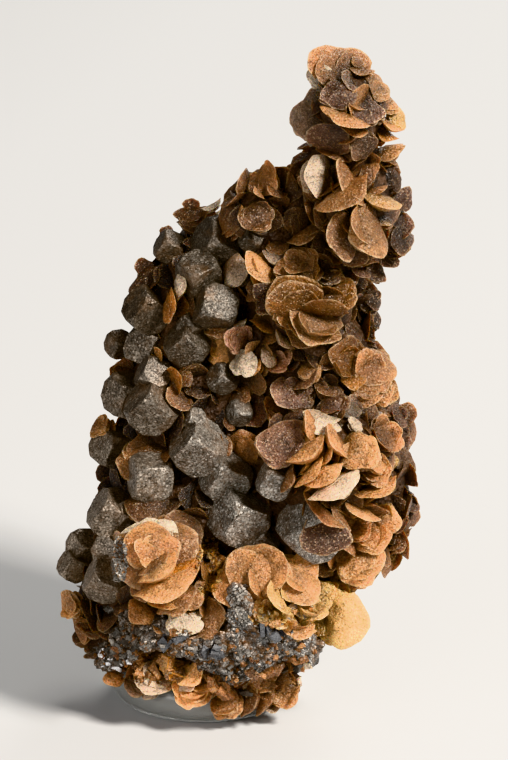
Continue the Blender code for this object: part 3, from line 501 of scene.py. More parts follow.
def faceBlades():
    names, across, up, radii, slants, opened, paints, proud = (np.array(column) for column in zip(*faceRows))
    spots = np.array([aheadOfBase(seat(right, top, bladeLook["proud"] * radius + off), radius)
                      for right, top, radius, off in zip(across, up, radii, proud)])
    seed = opened < seedLook["opened"]
    axes = bladeAxes(slants, np.where(seed, seedLook["narrow"] * opened, opened))
    plump = np.where(seed, seedLook["plump"], 1.0)
    for i in np.flatnonzero(names == "stain"):
        spots[i], axes[i] = onGalena(across[i], up[i], proud[i])
        plump[i] = stainLook["plump"]
    # Each rosette's colours scale by its share: its own tone with painted light and shade.
    light = np.array([1.0 if paint in paleColours else rosetteToneAndLight[name] for name, paint in zip(names, paints)])
    return spots, axes, radii, np.array([stoneColours[paint] for paint in paints]) * light[:, None], plump


def tilted(axes, lean, rng):
    # Turns each blade about a random line in its own plane by up to `lean` radians.
    count = len(axes)
    way = rng.uniform(0.0, 2.0 * math.pi, (count, 1))
    amount = rng.uniform(-lean, lean, (count, 1))
    hinge = np.cos(way) * axes[:, 0] + np.sin(way) * axes[:, 1]
    normal = unit(axes[:, 2] + np.tan(amount) * np.cross(hinge, axes[:, 2]))
    along = unit(axes[:, 0] - (axes[:, 0] * normal).sum(1, keepdims=True) * normal)
    return np.stack([along, np.cross(normal, along), normal], axis=1)


def splitBlades(spots, axes, radii, colours, plump, rng):
    # Split crystals: each blade gets smaller partners beside it, shifted along its normal.
    lots = []
    for partner in partners:
        turned = tilted(axes, partner["tilt"], rng)
        size = radii * partner["size"] * rng.uniform(0.75, 1.0, len(radii))
        slide = rng.uniform(-1.0, 1.0, (len(radii), 2)) * partner["slide"] * radii[:, None]
        step = partner["step"] * rng.uniform(0.6, 1.2, (len(radii), 1)) * radii[:, None]
        moved = spots + step * axes[:, 2] + slide[:, :1] * axes[:, 0] + slide[:, 1:] * axes[:, 1]
        nearest = np.argmin((((spots[:, None] - middles) / halfSizes) ** 2).sum(2), axis=1)
        outward = unit(spots - middles[nearest])
        risen = ((moved - spots) * outward).sum(1, keepdims=True)
        moved -= np.maximum(risen, 0.0) * outward
        moved -= partner["drop"] * radii[:, None] * (outward + toViewer)
        painted = colours * rng.uniform(0.7, 1.1, (len(radii), 1))
        apart = max(abs(partner["step"]), partner["drop"]) > seedLook["leafStep"]
        keep = (plump == 1.0) | ((plump > 1.0) & apart)
        lots.append((moved[keep], turned[keep], size[keep], painted[keep], np.ones(keep.sum())))
    return tuple(np.concatenate(parts) for parts in zip(*lots))


# Inner petals on every broad blade: their number, how far out they stand, how steeply they rise off
# its face in radians, and their size, with lengths as shares of its radius. The least radius of a
# blade that has them is in mm, and the twist turns the first petal by so much for each mm of it.
petals = {
    "each": 3, "out": (0.22, 0.6), "rise": (0.6, 1.15), "size": (0.42, 0.68), "lift": 0.3, "least": 1.7,
    "twist": 7.0, "kept": 0.8, "shade": (0.8, 1.2),
}


def innerPetals(spots, axes, radii, colours, plump, rng):
    # Each petal stands across a spoke of the blade and leans away from its middle, like a rose's.
    broad = (radii > petals["least"]) & (plump <= 1.0) & ~plainRows()
    spots, axes, radii, colours = spots[broad], axes[broad], radii[broad][:, None], colours[broad]
    lots = []
    for turn in range(petals["each"]):
        way = (turn + rng.uniform(-0.3, 0.3, radii.shape)) * 2.0 * math.pi / petals["each"]
        way = way + radii * petals["twist"]
        spoke = np.cos(way) * axes[:, 0] + np.sin(way) * axes[:, 1]
        rise = rng.uniform(*petals["rise"], radii.shape)
        normal = np.cos(rise) * axes[:, 2] - np.sin(rise) * spoke
        upward = np.cos(rise) * spoke + np.sin(rise) * axes[:, 2]
        size = radii * rng.uniform(*petals["size"], radii.shape)
        moved = spots + rng.uniform(*petals["out"], radii.shape) * radii * spoke
        moved = moved + petals["lift"] * size * upward
        along = np.cross(axes[:, 2], spoke)
        turned = np.stack([along, np.cross(normal, along), normal], axis=1)
        keep = rng.uniform(size=len(radii)) < petals["kept"]
        shade = rng.uniform(*petals["shade"], radii.shape)
        lots.append((moved[keep], turned[keep], size[keep, 0], (colours * shade)[keep], np.ones(keep.sum())))
    lots = [np.concatenate(parts) for parts in zip(*lots)]
    keep = clearOfGalena(lots[0], lots[2], galenaRoom["petals"])
    return tuple(lot[keep] for lot in lots)


# Room kept for the crystals: how near a blade may stand, as a share of its radius, and in mm how far
# behind it a crystal is still hidden by it, for petals and for druses, and the depth of any crystal.
galenaRoom = {"near": 0.3, "petals": 6.0, "druses": 4.0, "crystal": 20.0}


def clearOfGalena(spots, radii, hideDepth):
    # True where a blade neither grows into a galena crystal nor hides one that lies behind it.
    keep = np.ones(len(spots), bool)
    back = Vector(-toViewer)
    for i, (spot, radius) in enumerate(zip(spots, radii)):
        here = Vector(spot * mm)
        gap = galenaTree.find_nearest(here)[3]
        ahead = galenaTree.ray_cast(here, back, hideDepth * mm)[0]
        behind = galenaTree.ray_cast(here, -back, galenaRoom["crystal"] * mm)[0]
        keep[i] = gap > galenaRoom["near"] * radius * mm and (ahead is None or behind is not None)
    return keep


# Small blades that cover the core all round, and the larger ones on its hidden sides: how far apart
# they stand and their radius in mm, how deep they sink as a share of it, how much they lean as
# shares of the normal, and how far their sizes vary.
coverLook = dict(
    bladeLook, spacing=2.6, radius=2.2, sink=0.35, turns=14, rings=3, half=0.2, crimp=0.0, squareness=2.0,
    scatter=0.16, lean=(0.15, 1.1), sizes=(0.6, 1.25), seed=11,
)
backLook = {
    "spacing": 10.4, "radius": 4.0, "sink": 0.4, "lean": (0.2, 0.9), "sizes": (0.85, 1.2), "apart": 0.7,
    "above": 4.5, "seed": 5,
}
hiddenBelow = 0.1  # a normal that turns less than this to the viewer lies on a hidden side
# Colour zones for the small blades: across, up, reach in mm, and colour.
# Zones in the dark colour paint shade into the deep gaps and the shaded left flank.
zones = [
    (16.0, 80.0, 5.0, "mauve"), (24.0, 79.0, 4.0, "amber"), (20.0, 86.0, 4.0, "ash"),
    (25.5, 65.0, 4.0, "mauve"), (20.0, 66.0, 4.0, "umber"), (9.0, 66.0, 5.0, "brown"),
    (3.0, 62.0, 4.0, "brown"), (-3.0, 60.0, 6.0, "dark"), (14.0, 54.0, 6.0, "brown"),
    (22.0, 52.0, 4.0, "brown"), (5.0, 49.0, 6.0, "peach"), (-6.0, 45.0, 9.0, "dark"),
    (15.0, 46.0, 4.0, "dark"), (22.0, 43.0, 5.0, "tan"), (12.0, 39.0, 5.0, "mauve"),
    (19.0, 39.0, 4.0, "mauve"), (21.0, 31.0, 6.0, "tan"), (27.0, 27.0, 4.0, "mauve"),
    (12.0, 31.0, 4.0, "brown"), (2.0, 33.0, 6.0, "dark"), (-10.0, 30.0, 8.0, "dark"),
    (-4.0, 18.0, 5.0, "tan"), (3.0, 19.0, 3.0, "amber"), (9.0, 14.0, 6.0, "peach"),
    (17.0, 10.0, 4.0, "honey"), (-14.0, 15.0, 6.0, "dark"), (2.0, 3.0, 6.0, "tan"),
    (10.0, 2.0, 5.0, "tan"), (-8.0, 4.0, 6.0, "tan"), (22.0, 20.0, 4.0, "tan"),
]


def zoneColours(spots, rng):
    # Blend of the zones' colours, weighted by exp(-distance^2 / reach^2) as the display face shows it.
    across, up = spots @ toRight, spots @ toTop
    places = np.array([zone[:3] for zone in zones])
    paints = np.array([stoneColours[zone[3]] for zone in zones])
    gap = (across[:, None] - places[:, 0]) ** 2 + (up[:, None] - places[:, 1]) ** 2
    weight = np.exp(-gap / places[:, 2] ** 2) + 1e-5 / (1.0 + gap)
    mixed = weight @ paints / weight.sum(1, keepdims=True)
    return mixed * rng.uniform(0.65, 1.35, (len(spots), 1))


def spiralOut(half, spacing):
    # Golden-angle spiral of unit directions, as many as an ellipsoid has room for at this spacing.
    count = max(4, round(4.0 * math.pi * half.mean() ** 2 / spacing**2))
    i = np.arange(count)
    rise = 1.0 - 2.0 * (i + 0.5) / count
    turn = i * math.pi * (3.0 - math.sqrt(5.0))
    ring = np.sqrt(1.0 - rise**2)
    return np.stack([ring * np.cos(turn), ring * np.sin(turn), rise], axis=1)


def standing(normals, chance, lean):
    # Axes of blades that stand on edge, turned about the normals by chance and leaning back to them.
    face = unit(unit(np.cross(normals, chance)) + lean * normals)
    along = unit(np.cross(face, normals))
    return np.stack([along, np.cross(face, along), face], axis=-2)


def coverBlades():
    # Small blades on the outer skin of the ellipsoids, with the normals that they stand on.
    rng = np.random.default_rng(coverLook["seed"])
    allSpots, allNormals = [], []
    for middle, half in zip(middles, halfSizes):
        out = spiralOut(half, coverLook["spacing"])
        spots = middle + half * out
        depth = (((spots[:, None] - middles) / halfSizes) ** 2).sum(2)
        keep = (depth < 0.999).sum(1) == 0
        allSpots.append(spots[keep])
        allNormals.append(unit(out / half)[keep])
    normals = np.concatenate(allNormals)
    count = len(normals)
    scatter = coverLook["scatter"] * coverLook["spacing"]
    spots = np.concatenate(allSpots) + rng.normal(0.0, scatter, (count, 3))
    axes = standing(normals, rng.normal(size=(count, 3)), rng.uniform(*coverLook["lean"], (count, 1)))
    radii = coverLook["radius"] * rng.uniform(*coverLook["sizes"], count)
    return spots - coverLook["sink"] * radii[:, None] * normals, axes, radii, normals, rng


def backBlades():
    # The blades that stand on the core where the display face doesn't show.
    rng = np.random.default_rng(backLook["seed"])
    rows, taken = [], []
    for middle, half in zip(middles, halfSizes):
        for out in spiralOut(half, backLook["spacing"]):
            spot = middle + half * out
            normal = unit(out / half)
            axes = standing(normal, rng.normal(size=3), rng.uniform(*backLook["lean"]))
            size = backLook["radius"] * rng.uniform(*backLook["sizes"])
            buried = ((((spot - middles) / halfSizes) ** 2).sum(1) < 1.0).sum() > 1
            apart = backLook["apart"] * backLook["spacing"]
            crowded = any(np.linalg.norm(spot - other) < apart for other in taken)
            hidden = normal @ toViewer < hiddenBelow and spot[2] > backLook["above"] + size
            if hidden and not buried and not crowded:
                taken.append(spot)
                rows.append((spot - backLook["sink"] * size * normal, axes, size))
    return tuple(np.array(column) for column in zip(*rows))


# Materials. The groups below hold the effects that the stone's materials share.
def newGroup(name, inputs, outputs):
    group = bpy.data.node_groups.new(name, "ShaderNodeTree")
    for label, kind, value in inputs:
        socket = group.interface.new_socket(label, in_out="INPUT", socket_type=kind)
        if value is not None:
            socket.default_value = value
    for label, kind in outputs:
        group.interface.new_socket(label, in_out="OUTPUT", socket_type=kind)
    return group, group.nodes.new("NodeGroupInput"), group.nodes.new("NodeGroupOutput")


def addNode(tree, kind, **settings):
    node = tree.nodes.new(kind)
    for key, value in settings.items():
        setattr(node, key, value)
    return node


def mathNode(tree, operation, first, second=None, clamp=False):
    node = addNode(tree, "ShaderNodeMath", operation=operation, use_clamp=clamp)
    for socket, value in zip(node.inputs, (first, second)):
        if isinstance(value, (int, float)):
            socket.default_value = value
        elif value is not None:
            tree.links.new(value, socket)
    return node.outputs[0]


def mixColour(tree, mode, factor, first, second):
    node = addNode(tree, "ShaderNodeMix", data_type="RGBA", blend_type=mode)
    for socket, value in ((node.inputs[0], factor), (node.inputs[6], first), (node.inputs[7], second)):
        if isinstance(value, tuple):
            socket.default_value = (*value, 1.0)
        elif isinstance(value, (int, float)):
            socket.default_value = value
        else:
            tree.links.new(value, socket)
    return node.outputs[2]


def vectorNode(tree, operation, first, second, socket=1):
    node = addNode(tree, "ShaderNodeVectorMath", operation=operation)
    tree.links.new(first, node.inputs[0])
    if isinstance(second, tuple):
        node.inputs[socket].default_value = second
    elif second is not None:
        tree.links.new(second, node.inputs[socket])
    return node.outputs[0]


def sparkleGroup():
    # Micro-crystals: each small cell tips the normal its own way, and gives a random mark.
    group, start, end = newGroup(
        "microCrystals",
        [("Cell size", "NodeSocketFloat", 4000.0), ("Tip", "NodeSocketFloat", 0.5)],
        [("Normal", "NodeSocketVector"), ("Mark", "NodeSocketFloat"), ("Height", "NodeSocketFloat")],
    )
    place = addNode(group, "ShaderNodeTexCoord")
    cells = addNode(group, "ShaderNodeTexVoronoi", feature="F1")
    group.links.new(place.outputs["Object"], cells.inputs["Vector"])
    group.links.new(start.outputs["Cell size"], cells.inputs["Scale"])
    centred = vectorNode(group, "SUBTRACT", cells.outputs["Color"], (0.5, 0.5, 0.5))
    tipped = vectorNode(group, "SCALE", centred, start.outputs["Tip"], "Scale")
    surface = addNode(group, "ShaderNodeNewGeometry")
    added = vectorNode(group, "ADD", surface.outputs["Normal"], tipped)
    split = addNode(group, "ShaderNodeSeparateColor")
    group.links.new(cells.outputs["Color"], split.inputs[0])
    group.links.new(vectorNode(group, "NORMALIZE", added, None), end.inputs["Normal"])
    group.links.new(split.outputs[0], end.inputs["Mark"])
    group.links.new(cells.outputs["Distance"], end.inputs["Height"])
    return group


def mottleGroup():
    # Patches of shade at two sizes, from 0 to 1.
    group, start, end = newGroup(
        "mottle",
        [("Patch size", "NodeSocketFloat", 300.0), ("Grain size", "NodeSocketFloat", 3000.0)],
        [("Patch", "NodeSocketFloat"), ("Grain", "NodeSocketFloat")],
    )
    place = addNode(group, "ShaderNodeTexCoord")
    for label, output, detail in (("Patch size", "Patch", 4.0), ("Grain size", "Grain", 3.0)):
        cloud = addNode(group, "ShaderNodeTexNoise")
        cloud.inputs["Detail"].default_value = detail
        group.links.new(place.outputs["Object"], cloud.inputs["Vector"])
        group.links.new(start.outputs[label], cloud.inputs["Scale"])
        group.links.new(cloud.outputs[0], end.inputs[output])
    return group


sparkles = sparkleGroup()
mottle = mottleGroup()


def newMaterial(name):
    made = bpy.data.materials.new(name)
    made.use_nodes = True
    return made, made.node_tree, made.node_tree.nodes["Principled BSDF"]


def placeGroup(tree, group, **values):
    node = addNode(tree, "ShaderNodeGroup", node_tree=group)
    for label, value in values.items():
        node.inputs[label.replace("_", " ")].default_value = value
    return node


def ramp(tree, source, low, high, outLow, outHigh):
    node = addNode(tree, "ShaderNodeMapRange", clamp=True)
    tree.links.new(source, node.inputs["Value"])
    for label, value in (("From Min", low), ("From Max", high), ("To Min", outLow), ("To Max", outHigh)):
        node.inputs[label].default_value = value
    return node.outputs[0]


def shaded(tree, colour, source, low, high, dark, light):
    return mixColour(tree, "MULTIPLY", 1.0, colour, ramp(tree, source, low, high, dark, light))


def bumped(tree, shader, height, distance, strength=1.0, cells=None):
    bump = addNode(tree, "ShaderNodeBump")
    bump.inputs["Distance"].default_value = distance
    bump.inputs["Strength"].default_value = strength
    tree.links.new(height, bump.inputs["Height"])
    if cells:
        tree.links.new(cells.outputs["Normal"], bump.inputs["Normal"])
    tree.links.new(bump.outputs[0], shader.inputs["Normal"])


# The frost and edge colours paint highlights on bright cells and rims; the hollow values set painted shade
# near the core.
stoneFinish = {
    "cell": 5200.0, "tip": 0.55, "patch": 520.0, "grain": 4200.0, "bump": 0.00008, "terraces": 26.0,
    "hollow": 0.12, "hollowFrom": -0.4, "hollowTo": 2.4, "glow": 0.3, "glowReach": 0.0010,
    "glowTint": (1.0, 0.42, 0.14), "stain": (0.62, 0.40, 0.30), "frost": (0.70, 0.48, 0.31),
    "edge": (0.80, 0.57, 0.36),
}


def bladeStone():
    made, tree, shader = newMaterial("sideriteBlades")
    paint = addNode(tree, "ShaderNodeAttribute", attribute_name="bladeColour")
    rim = addNode(tree, "ShaderNodeAttribute", attribute_name="bladeRim").outputs["Fac"]
    depth = addNode(tree, "ShaderNodeAttribute", attribute_name="bladeDepth").outputs["Fac"]
    cells = placeGroup(tree, sparkles, Cell_size=stoneFinish["cell"], Tip=stoneFinish["tip"])
    mark = cells.outputs["Mark"]
    cloud = placeGroup(tree, mottle, Patch_size=stoneFinish["patch"], Grain_size=stoneFinish["grain"])
    wide = placeGroup(tree, mottle, Patch_size=140.0, Grain_size=1500.0)
    # Patches, then a lighter outer half, brown stain, specks, painted sparkle on bright cells, painted
    # highlights along the rims in broken patches, and last painted shade in the hollows near the core.
    shade = shaded(tree, paint.outputs["Color"], cloud.outputs["Patch"], 0.3, 0.7, 0.6, 1.35)
    shade = shaded(tree, shade, rim, 0.1, 0.95, 0.66, 1.2)
    stained = ramp(tree, wide.outputs["Patch"], 0.5, 0.68, 0.0, 0.55)
    shade = mixColour(tree, "MULTIPLY", stained, shade, stoneFinish["stain"])
    shade = shaded(tree, shade, cloud.outputs["Grain"], 0.35, 0.65, 0.64, 1.28)
    shade = shaded(tree, shade, mark, 0.0, 0.25, 0.58, 1.0)
    # Painted sparkle: bright cells mixed towards a pale colour.
    shade = mixColour(tree, "MIX", ramp(tree, mark, 0.82, 1.0, 0.0, 0.4), shade, stoneFinish["frost"])
    # Painted highlight along the rims.
    edge = mathNode(tree, "MULTIPLY", ramp(tree, rim, 0.9, 1.0, 0.0, 0.5),
                    ramp(tree, wide.outputs["Grain"], 0.4, 0.6, 0.2, 1.0))
    shade = mixColour(tree, "MIX", edge, shade, stoneFinish["edge"])
    # Painted shade: the colour darkens towards the core, by how deep the blade point lies off it.
    shade = shaded(tree, shade, depth, stoneFinish["hollowFrom"], stoneFinish["hollowTo"],
                   stoneFinish["hollow"], 1.0)
    tree.links.new(shade, shader.inputs["Base Color"])
    tree.links.new(ramp(tree, mark, 0.5, 1.0, 0.62, 0.26), shader.inputs["Roughness"])
    # Relief: the grain and the cells, with low growth terraces that follow the rim.
    terrace = mathNode(tree, "MULTIPLY", rim, stoneFinish["terraces"])
    terrace = mathNode(tree, "ADD", terrace, mathNode(tree, "MULTIPLY", wide.outputs["Grain"], 9.0))
    terrace = mathNode(tree, "MULTIPLY", mathNode(tree, "SINE", terrace), 0.12)
    grain = mathNode(tree, "MULTIPLY", cloud.outputs["Grain"], 1.4)
    height = mathNode(tree, "ADD", mathNode(tree, "ADD", grain, cells.outputs["Height"]), terrace)
    bumped(tree, shader, height, stoneFinish["bump"], cells=cells)
    shader.inputs["Subsurface Weight"].default_value = stoneFinish["glow"]
    shader.inputs["Subsurface Radius"].default_value = stoneFinish["glowTint"]
    shader.inputs["Subsurface Scale"].default_value = stoneFinish["glowReach"]
    return made


# The core shows in the gaps between rosettes: its dark stone is painted near black, as painted shade of the
# gaps.
matrixFinish = {
    "dark": (0.022, 0.012, 0.008), "light": (0.075, 0.040, 0.022), "roughness": 0.62, "bump": 0.0003,
}


def coreStone():
    made, tree, shader = newMaterial("sideriteMatrix")
    cloud = placeGroup(tree, mottle, Patch_size=380.0, Grain_size=2200.0)
    cells = placeGroup(tree, sparkles, Cell_size=2200.0, Tip=0.7)
    patch = ramp(tree, cloud.outputs["Patch"], 0.35, 0.65, 0.0, 1.0)
    shade = mixColour(tree, "MIX", patch, matrixFinish["dark"], matrixFinish["light"])
    tree.links.new(shade, shader.inputs["Base Color"])
    shader.inputs["Roughness"].default_value = matrixFinish["roughness"]
    height = mathNode(tree, "ADD", cloud.outputs["Grain"], cells.outputs["Height"])
    bumped(tree, shader, height, matrixFinish["bump"], cells=cells)
    return made


galenaFinish = {
    "cell": 4600.0, "tip": 0.34, "patch": 700.0, "grain": 4200.0, "bump": 0.00010, "metallic": 0.42,
    "glint": (0.78, 0.75, 0.70), "dust": (0.20, 0.125, 0.070), "iron": (0.66, 0.52, 0.40),
    "upperShade": (0.40, 0.38, 0.355), "crust": (0.23, 0.125, 0.06),
}


def galenaMetal(name, pale, deep, brownDust, crustShare):
    made, tree, shader = newMaterial(name)
    cells = placeGroup(tree, sparkles, Cell_size=galenaFinish["cell"], Tip=galenaFinish["tip"])
    mark = cells.outputs["Mark"]
    cloud = placeGroup(tree, mottle, Patch_size=galenaFinish["patch"], Grain_size=galenaFinish["grain"])
    shade = mixColour(tree, "MIX", ramp(tree, cloud.outputs["Patch"], 0.32, 0.66, 0.0, 1.0), deep, pale)
    shade = shaded(tree, shade, cloud.outputs["Grain"], 0.36, 0.56, 0.3, 1.15)
    shade = mixColour(tree, "MIX", ramp(tree, mark, 0.80, 0.98, 0.0, 0.7), shade, galenaFinish["glint"])
    shade = mixColour(tree, "MIX", ramp(tree, mark, 0.30, 0.05, 0.0, brownDust), shade, galenaFinish["dust"])
    # Iron stain with painted shade browns and darkens the left flank; painted shade darkens the upper
    # crystals.
    spot = addNode(tree, "ShaderNodeSeparateXYZ")
    tree.links.new(addNode(tree, "ShaderNodeTexCoord").outputs["Object"], spot.inputs[0])
    leftward = ramp(tree, spot.outputs["X"], 0.004, -0.016, 0.10, 0.75)
    shade = mixColour(tree, "MULTIPLY", leftward, shade, galenaFinish["iron"])
    upward = ramp(tree, spot.outputs["Z"], 0.030, 0.052, 0.0, 1.0)
    shade = mixColour(tree, "MULTIPLY", upward, shade, galenaFinish["upperShade"])
    patches = placeGroup(tree, mottle, Patch_size=260.0, Grain_size=1100.0)
    crust = mathNode(tree, "MULTIPLY", ramp(tree, patches.outputs["Patch"], 0.50, 0.62, 0.0, crustShare),
                     ramp(tree, patches.outputs["Grain"], 0.42, 0.55, 0.3, 1.0))
    shade = mixColour(tree, "MIX", crust, shade, galenaFinish["crust"])
    tree.links.new(shade, shader.inputs["Base Color"])
    shader.inputs["Metallic"].default_value = galenaFinish["metallic"]
    tree.links.new(ramp(tree, cloud.outputs["Grain"], 0.35, 0.65, 0.6, 0.38), shader.inputs["Roughness"])
    bumped(tree, shader, cloud.outputs["Grain"], galenaFinish["bump"], 0.9, cells)
    return made


def chipMetal():
    # Broken cleavages of galena: each chip has its own grey from its attribute.
    made, tree, shader = newMaterial("galenaChips")
    paint = addNode(tree, "ShaderNodeAttribute", attribute_name="bladeColour")
    cloud = placeGroup(tree, mottle, Patch_size=900.0, Grain_size=5200.0)
    shade = shaded(tree, paint.outputs["Color"], cloud.outputs["Grain"], 0.35, 0.65, 0.5, 1.35)
    tree.links.new(shade, shader.inputs["Base Color"])
    shader.inputs["Metallic"].default_value = 0.25
    tree.links.new(ramp(tree, cloud.outputs["Patch"], 0.35, 0.65, 0.42, 0.7), shader.inputs["Roughness"])
    bumped(tree, shader, cloud.outputs["Grain"], 0.00006)
    return made


clearFinish = {"colour": (0.95, 0.97, 0.94), "transmission": 0.75, "ior": 1.49, "roughness": (0.14, 0.26)}


def frostedClear():
    made, tree, shader = newMaterial("frostedAcrylic")
    cloud = placeGroup(tree, mottle, Patch_size=120.0, Grain_size=900.0)
    frost = ramp(tree, cloud.outputs["Patch"], 0.3, 0.7, *clearFinish["roughness"])
    tree.links.new(frost, shader.inputs["Roughness"])
    shader.inputs["Base Color"].default_value = (*clearFinish["colour"], 1.0)
    shader.inputs["Transmission Weight"].default_value = clearFinish["transmission"]
    shader.inputs["IOR"].default_value = clearFinish["ior"]
    return made


bladeMaterial = bladeStone()
matrixMaterial = coreStone()
clearMaterial = frostedClear()
chipMaterial = chipMetal()
crystalMaterial = galenaMetal("galenaCrystal", (0.34, 0.325, 0.295), (0.15, 0.142, 0.13), 0.35, 0.25)
seamMaterial = galenaMetal("galenaSeam", (0.225, 0.228, 0.228), (0.05, 0.050, 0.048), 0.4, 0.7)
print("materials made")


def finishPiece(piece, material, slot, *nodes):
    piece.data.materials.clear()
    piece.data.materials.append(material)
    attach(piece, "root")
    if nodes:
        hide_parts(*nodes)
    return piece


def applyModifiers(piece):
    bpy.context.view_layer.update()
    graph = bpy.context.evaluated_depsgraph_get()
    mesh = bpy.data.meshes.new_from_object(piece.evaluated_get(graph))
    piece.modifiers.clear()
    piece.data = mesh
    return piece


def melt(piece, voxel, smooth):
    remesh = piece.modifiers.new("melt", "REMESH")
    remesh.mode = "VOXEL"
    remesh.voxel_size = voxel
    remesh.use_smooth_shade = smooth


def etch(piece, kind, size, strength):
    # Moves the surface along its normals, by up to half the strength, after a texture of this grain.
    push = piece.modifiers.new(f"etch{kind.title()}", "DISPLACE")
    push.texture = bpy.data.textures.new(f"{piece.name}{kind.title()}", kind)
    push.texture.noise_scale = size
    push.strength = strength
    push.mid_level = 0.5


matrixLook = {
    "turns": 40, "rings": 24, "shrink": 0.93, "voxel": 0.0008, "reliefSize": 0.0016, "relief": 0.0012,
}


def buildMatrix():
    # Spheres scaled to the core's ellipsoids, fused by a voxel remesh and roughened.
    turns = matrixLook["turns"]
    rings = matrixLook["rings"]
    polar = np.linspace(0.0, math.pi, rings + 1)[1:-1]
    angle = np.arange(turns) * 2.0 * math.pi / turns
    p, a = np.meshgrid(polar, angle, indexing="ij")
    ball = np.stack([np.sin(p) * np.cos(a), np.sin(p) * np.sin(a), np.cos(p)], axis=-1).reshape(-1, 3)
    ball = np.concatenate([[[0.0, 0.0, 1.0]], ball, [[0.0, 0.0, -1.0]]])
    quads, tris = poleNet(turns, rings - 1)
    verts = middles[:, None] + ball[None] * halfSizes[:, None] * matrixLook["shrink"]
    shift = (np.arange(len(middles)) * len(ball))[:, None, None]
    piece = addMesh("siderite_matrix", verts.reshape(-1, 3) * mm, (quads + shift).reshape(-1, 4),
                    (tris + shift).reshape(-1, 3))
    melt(piece, matrixLook["voxel"], True)
    etch(piece, "CLOUDS", matrixLook["reliefSize"], matrixLook["relief"])
    return applyModifiers(piece)


def outsideRosettes(spots, normals):
    # False for small blades on the display face that a rosette blade would stand over.
    large, _, sizes, _, _ = faceBlades()
    flat = np.stack([toRight, toTop], axis=1)
    gap = np.linalg.norm((spots @ flat)[:, None] - (large @ flat)[None], axis=2)
    return (gap > 0.6 * sizes).all(axis=1) | (normals @ toViewer < hiddenBelow)


def aboveBase(spots, radii, axes):
    # Blades that would sink into the clear base, reach the floor or leave the model's box are left out.
    low = spots[:, 2] - radii * np.sqrt(axes[:, 0, 2] ** 2 + axes[:, 1, 2] ** 2)
    ring = np.hypot(spots[:, 0], spots[:, 1]) - 0.75 * radii
    spread = radii[:, None] * np.sqrt((axes[:, :2] ** 2).sum(1))
    start, end = (np.array(corner) / mm for corner in cadBox)
    inBox = (spots - spread > start - baseRoom["spill"]) & (spots + spread < end + baseRoom["spill"])
    offBase = (low > baseRoom["top"]) | (ring > baseRoom["druses"])
    return (low > baseRoom["floor"]) & offBase & inBox.all(axis=1)


middleHeight = 36.0


def inHalves(label, spots, axes, radii, colours, plump, shape, rng):
    # Blades off the base, in two pieces: those high on the specimen and those low on it.
    keep = aboveBase(spots, radii, axes)
    upper = spots @ toTop > middleHeight
    lots = (spots, axes, radii, colours, plump)
    return [lensBlades(f"{label}_{end}", *(lot[part] for lot in lots), shape, rng)
            for end, part in (("upper", keep & upper), ("lower", keep & ~upper))]


def buildBlades():
    rng = np.random.default_rng(3)
    finished = inHalves("siderite_rosettes", *faceBlades(), bladeLook, rng)
    finished += inHalves("siderite_splits", *splitBlades(*faceBlades(), rng), leafLook, rng)
    finished += inHalves("siderite_petals", *innerPetals(*faceBlades(), rng), leafLook, rng)
    spots, axes, radii = backBlades()
    lots = (spots, axes, radii, zoneColours(spots, rng), np.ones(len(spots)))
    finished.append(lensBlades("siderite_back_blades", *lots, bladeLook, rng))
    finished.append(lensBlades("siderite_back_splits", *splitBlades(*lots, rng), leafLook, rng))
    spots, axes, radii, normals, rng = coverBlades()
    keep = aboveBase(spots, radii, axes) & clearOfGalena(spots, radii, galenaRoom["druses"])
    keep &= outsideRosettes(spots, normals)
    spots, axes, radii = spots[keep], axes[keep], radii[keep]
    colours = zoneColours(spots, rng)
    half = spots @ toViewer > 0.0
    for name, part in (("siderite_druse_front", half), ("siderite_druse_back", ~half)):
        lots = (spots[part], axes[part], radii[part], colours[part], np.ones(part.sum()))
        finished.append(lensBlades(name, *lots, coverLook, rng))
    return finished


matrixPiece = finishPiece(buildMatrix(), matrixMaterial, "siderite", "siderite")
for bladePiece in buildBlades():
    finishPiece(bladePiece, bladeMaterial, "siderite")
print("siderite dressed")

crystalLook = {"wear": 0.00014, "levels": 2, "etchSize": 0.0014, "etch": 0.00012, "sharp": 24.0}


def facet(piece):
    # Crystals keep their flat faces: worn edges are bevelled, and the faces are cut finely and etched.
    wear = piece.modifiers.new("wear", "BEVEL")
    wear.limit_method = "ANGLE"
    wear.angle_limit = math.radians(25.0)
    wear.width = crystalLook["wear"]
    wear.segments = 1
    cut = piece.modifiers.new("cut", "TRIANGULATE")
    cut.quad_method = "BEAUTY"
    fine = piece.modifiers.new("fine", "SUBSURF")
    fine.subdivision_type = "SIMPLE"
    fine.levels = fine.render_levels = crystalLook["levels"]
    etch(piece, "CLOUDS", crystalLook["etchSize"], crystalLook["etch"])
    applyModifiers(piece)
    piece.data.set_sharp_from_angle(angle=math.radians(crystalLook["sharp"]))
    return piece


seamLook = {"voxel": 0.0004, "factor": 0.8, "soften": 14, "grain": 0.0016, "relief": 0.0016, "cell": 0.0008}


def seamMass(piece):
    # The seam's lumps melt into one band: remeshed, softened, then broken up by clouds and cells.
    melt(piece, seamLook["voxel"], False)
    soften = piece.modifiers.new("soften", "SMOOTH")
    soften.factor = seamLook["factor"]
    soften.iterations = seamLook["soften"]
    etch(piece, "CLOUDS", seamLook["grain"], seamLook["relief"])
    etch(piece, "VORONOI", seamLook["cell"], seamLook["cell"])
    return applyModifiers(piece)


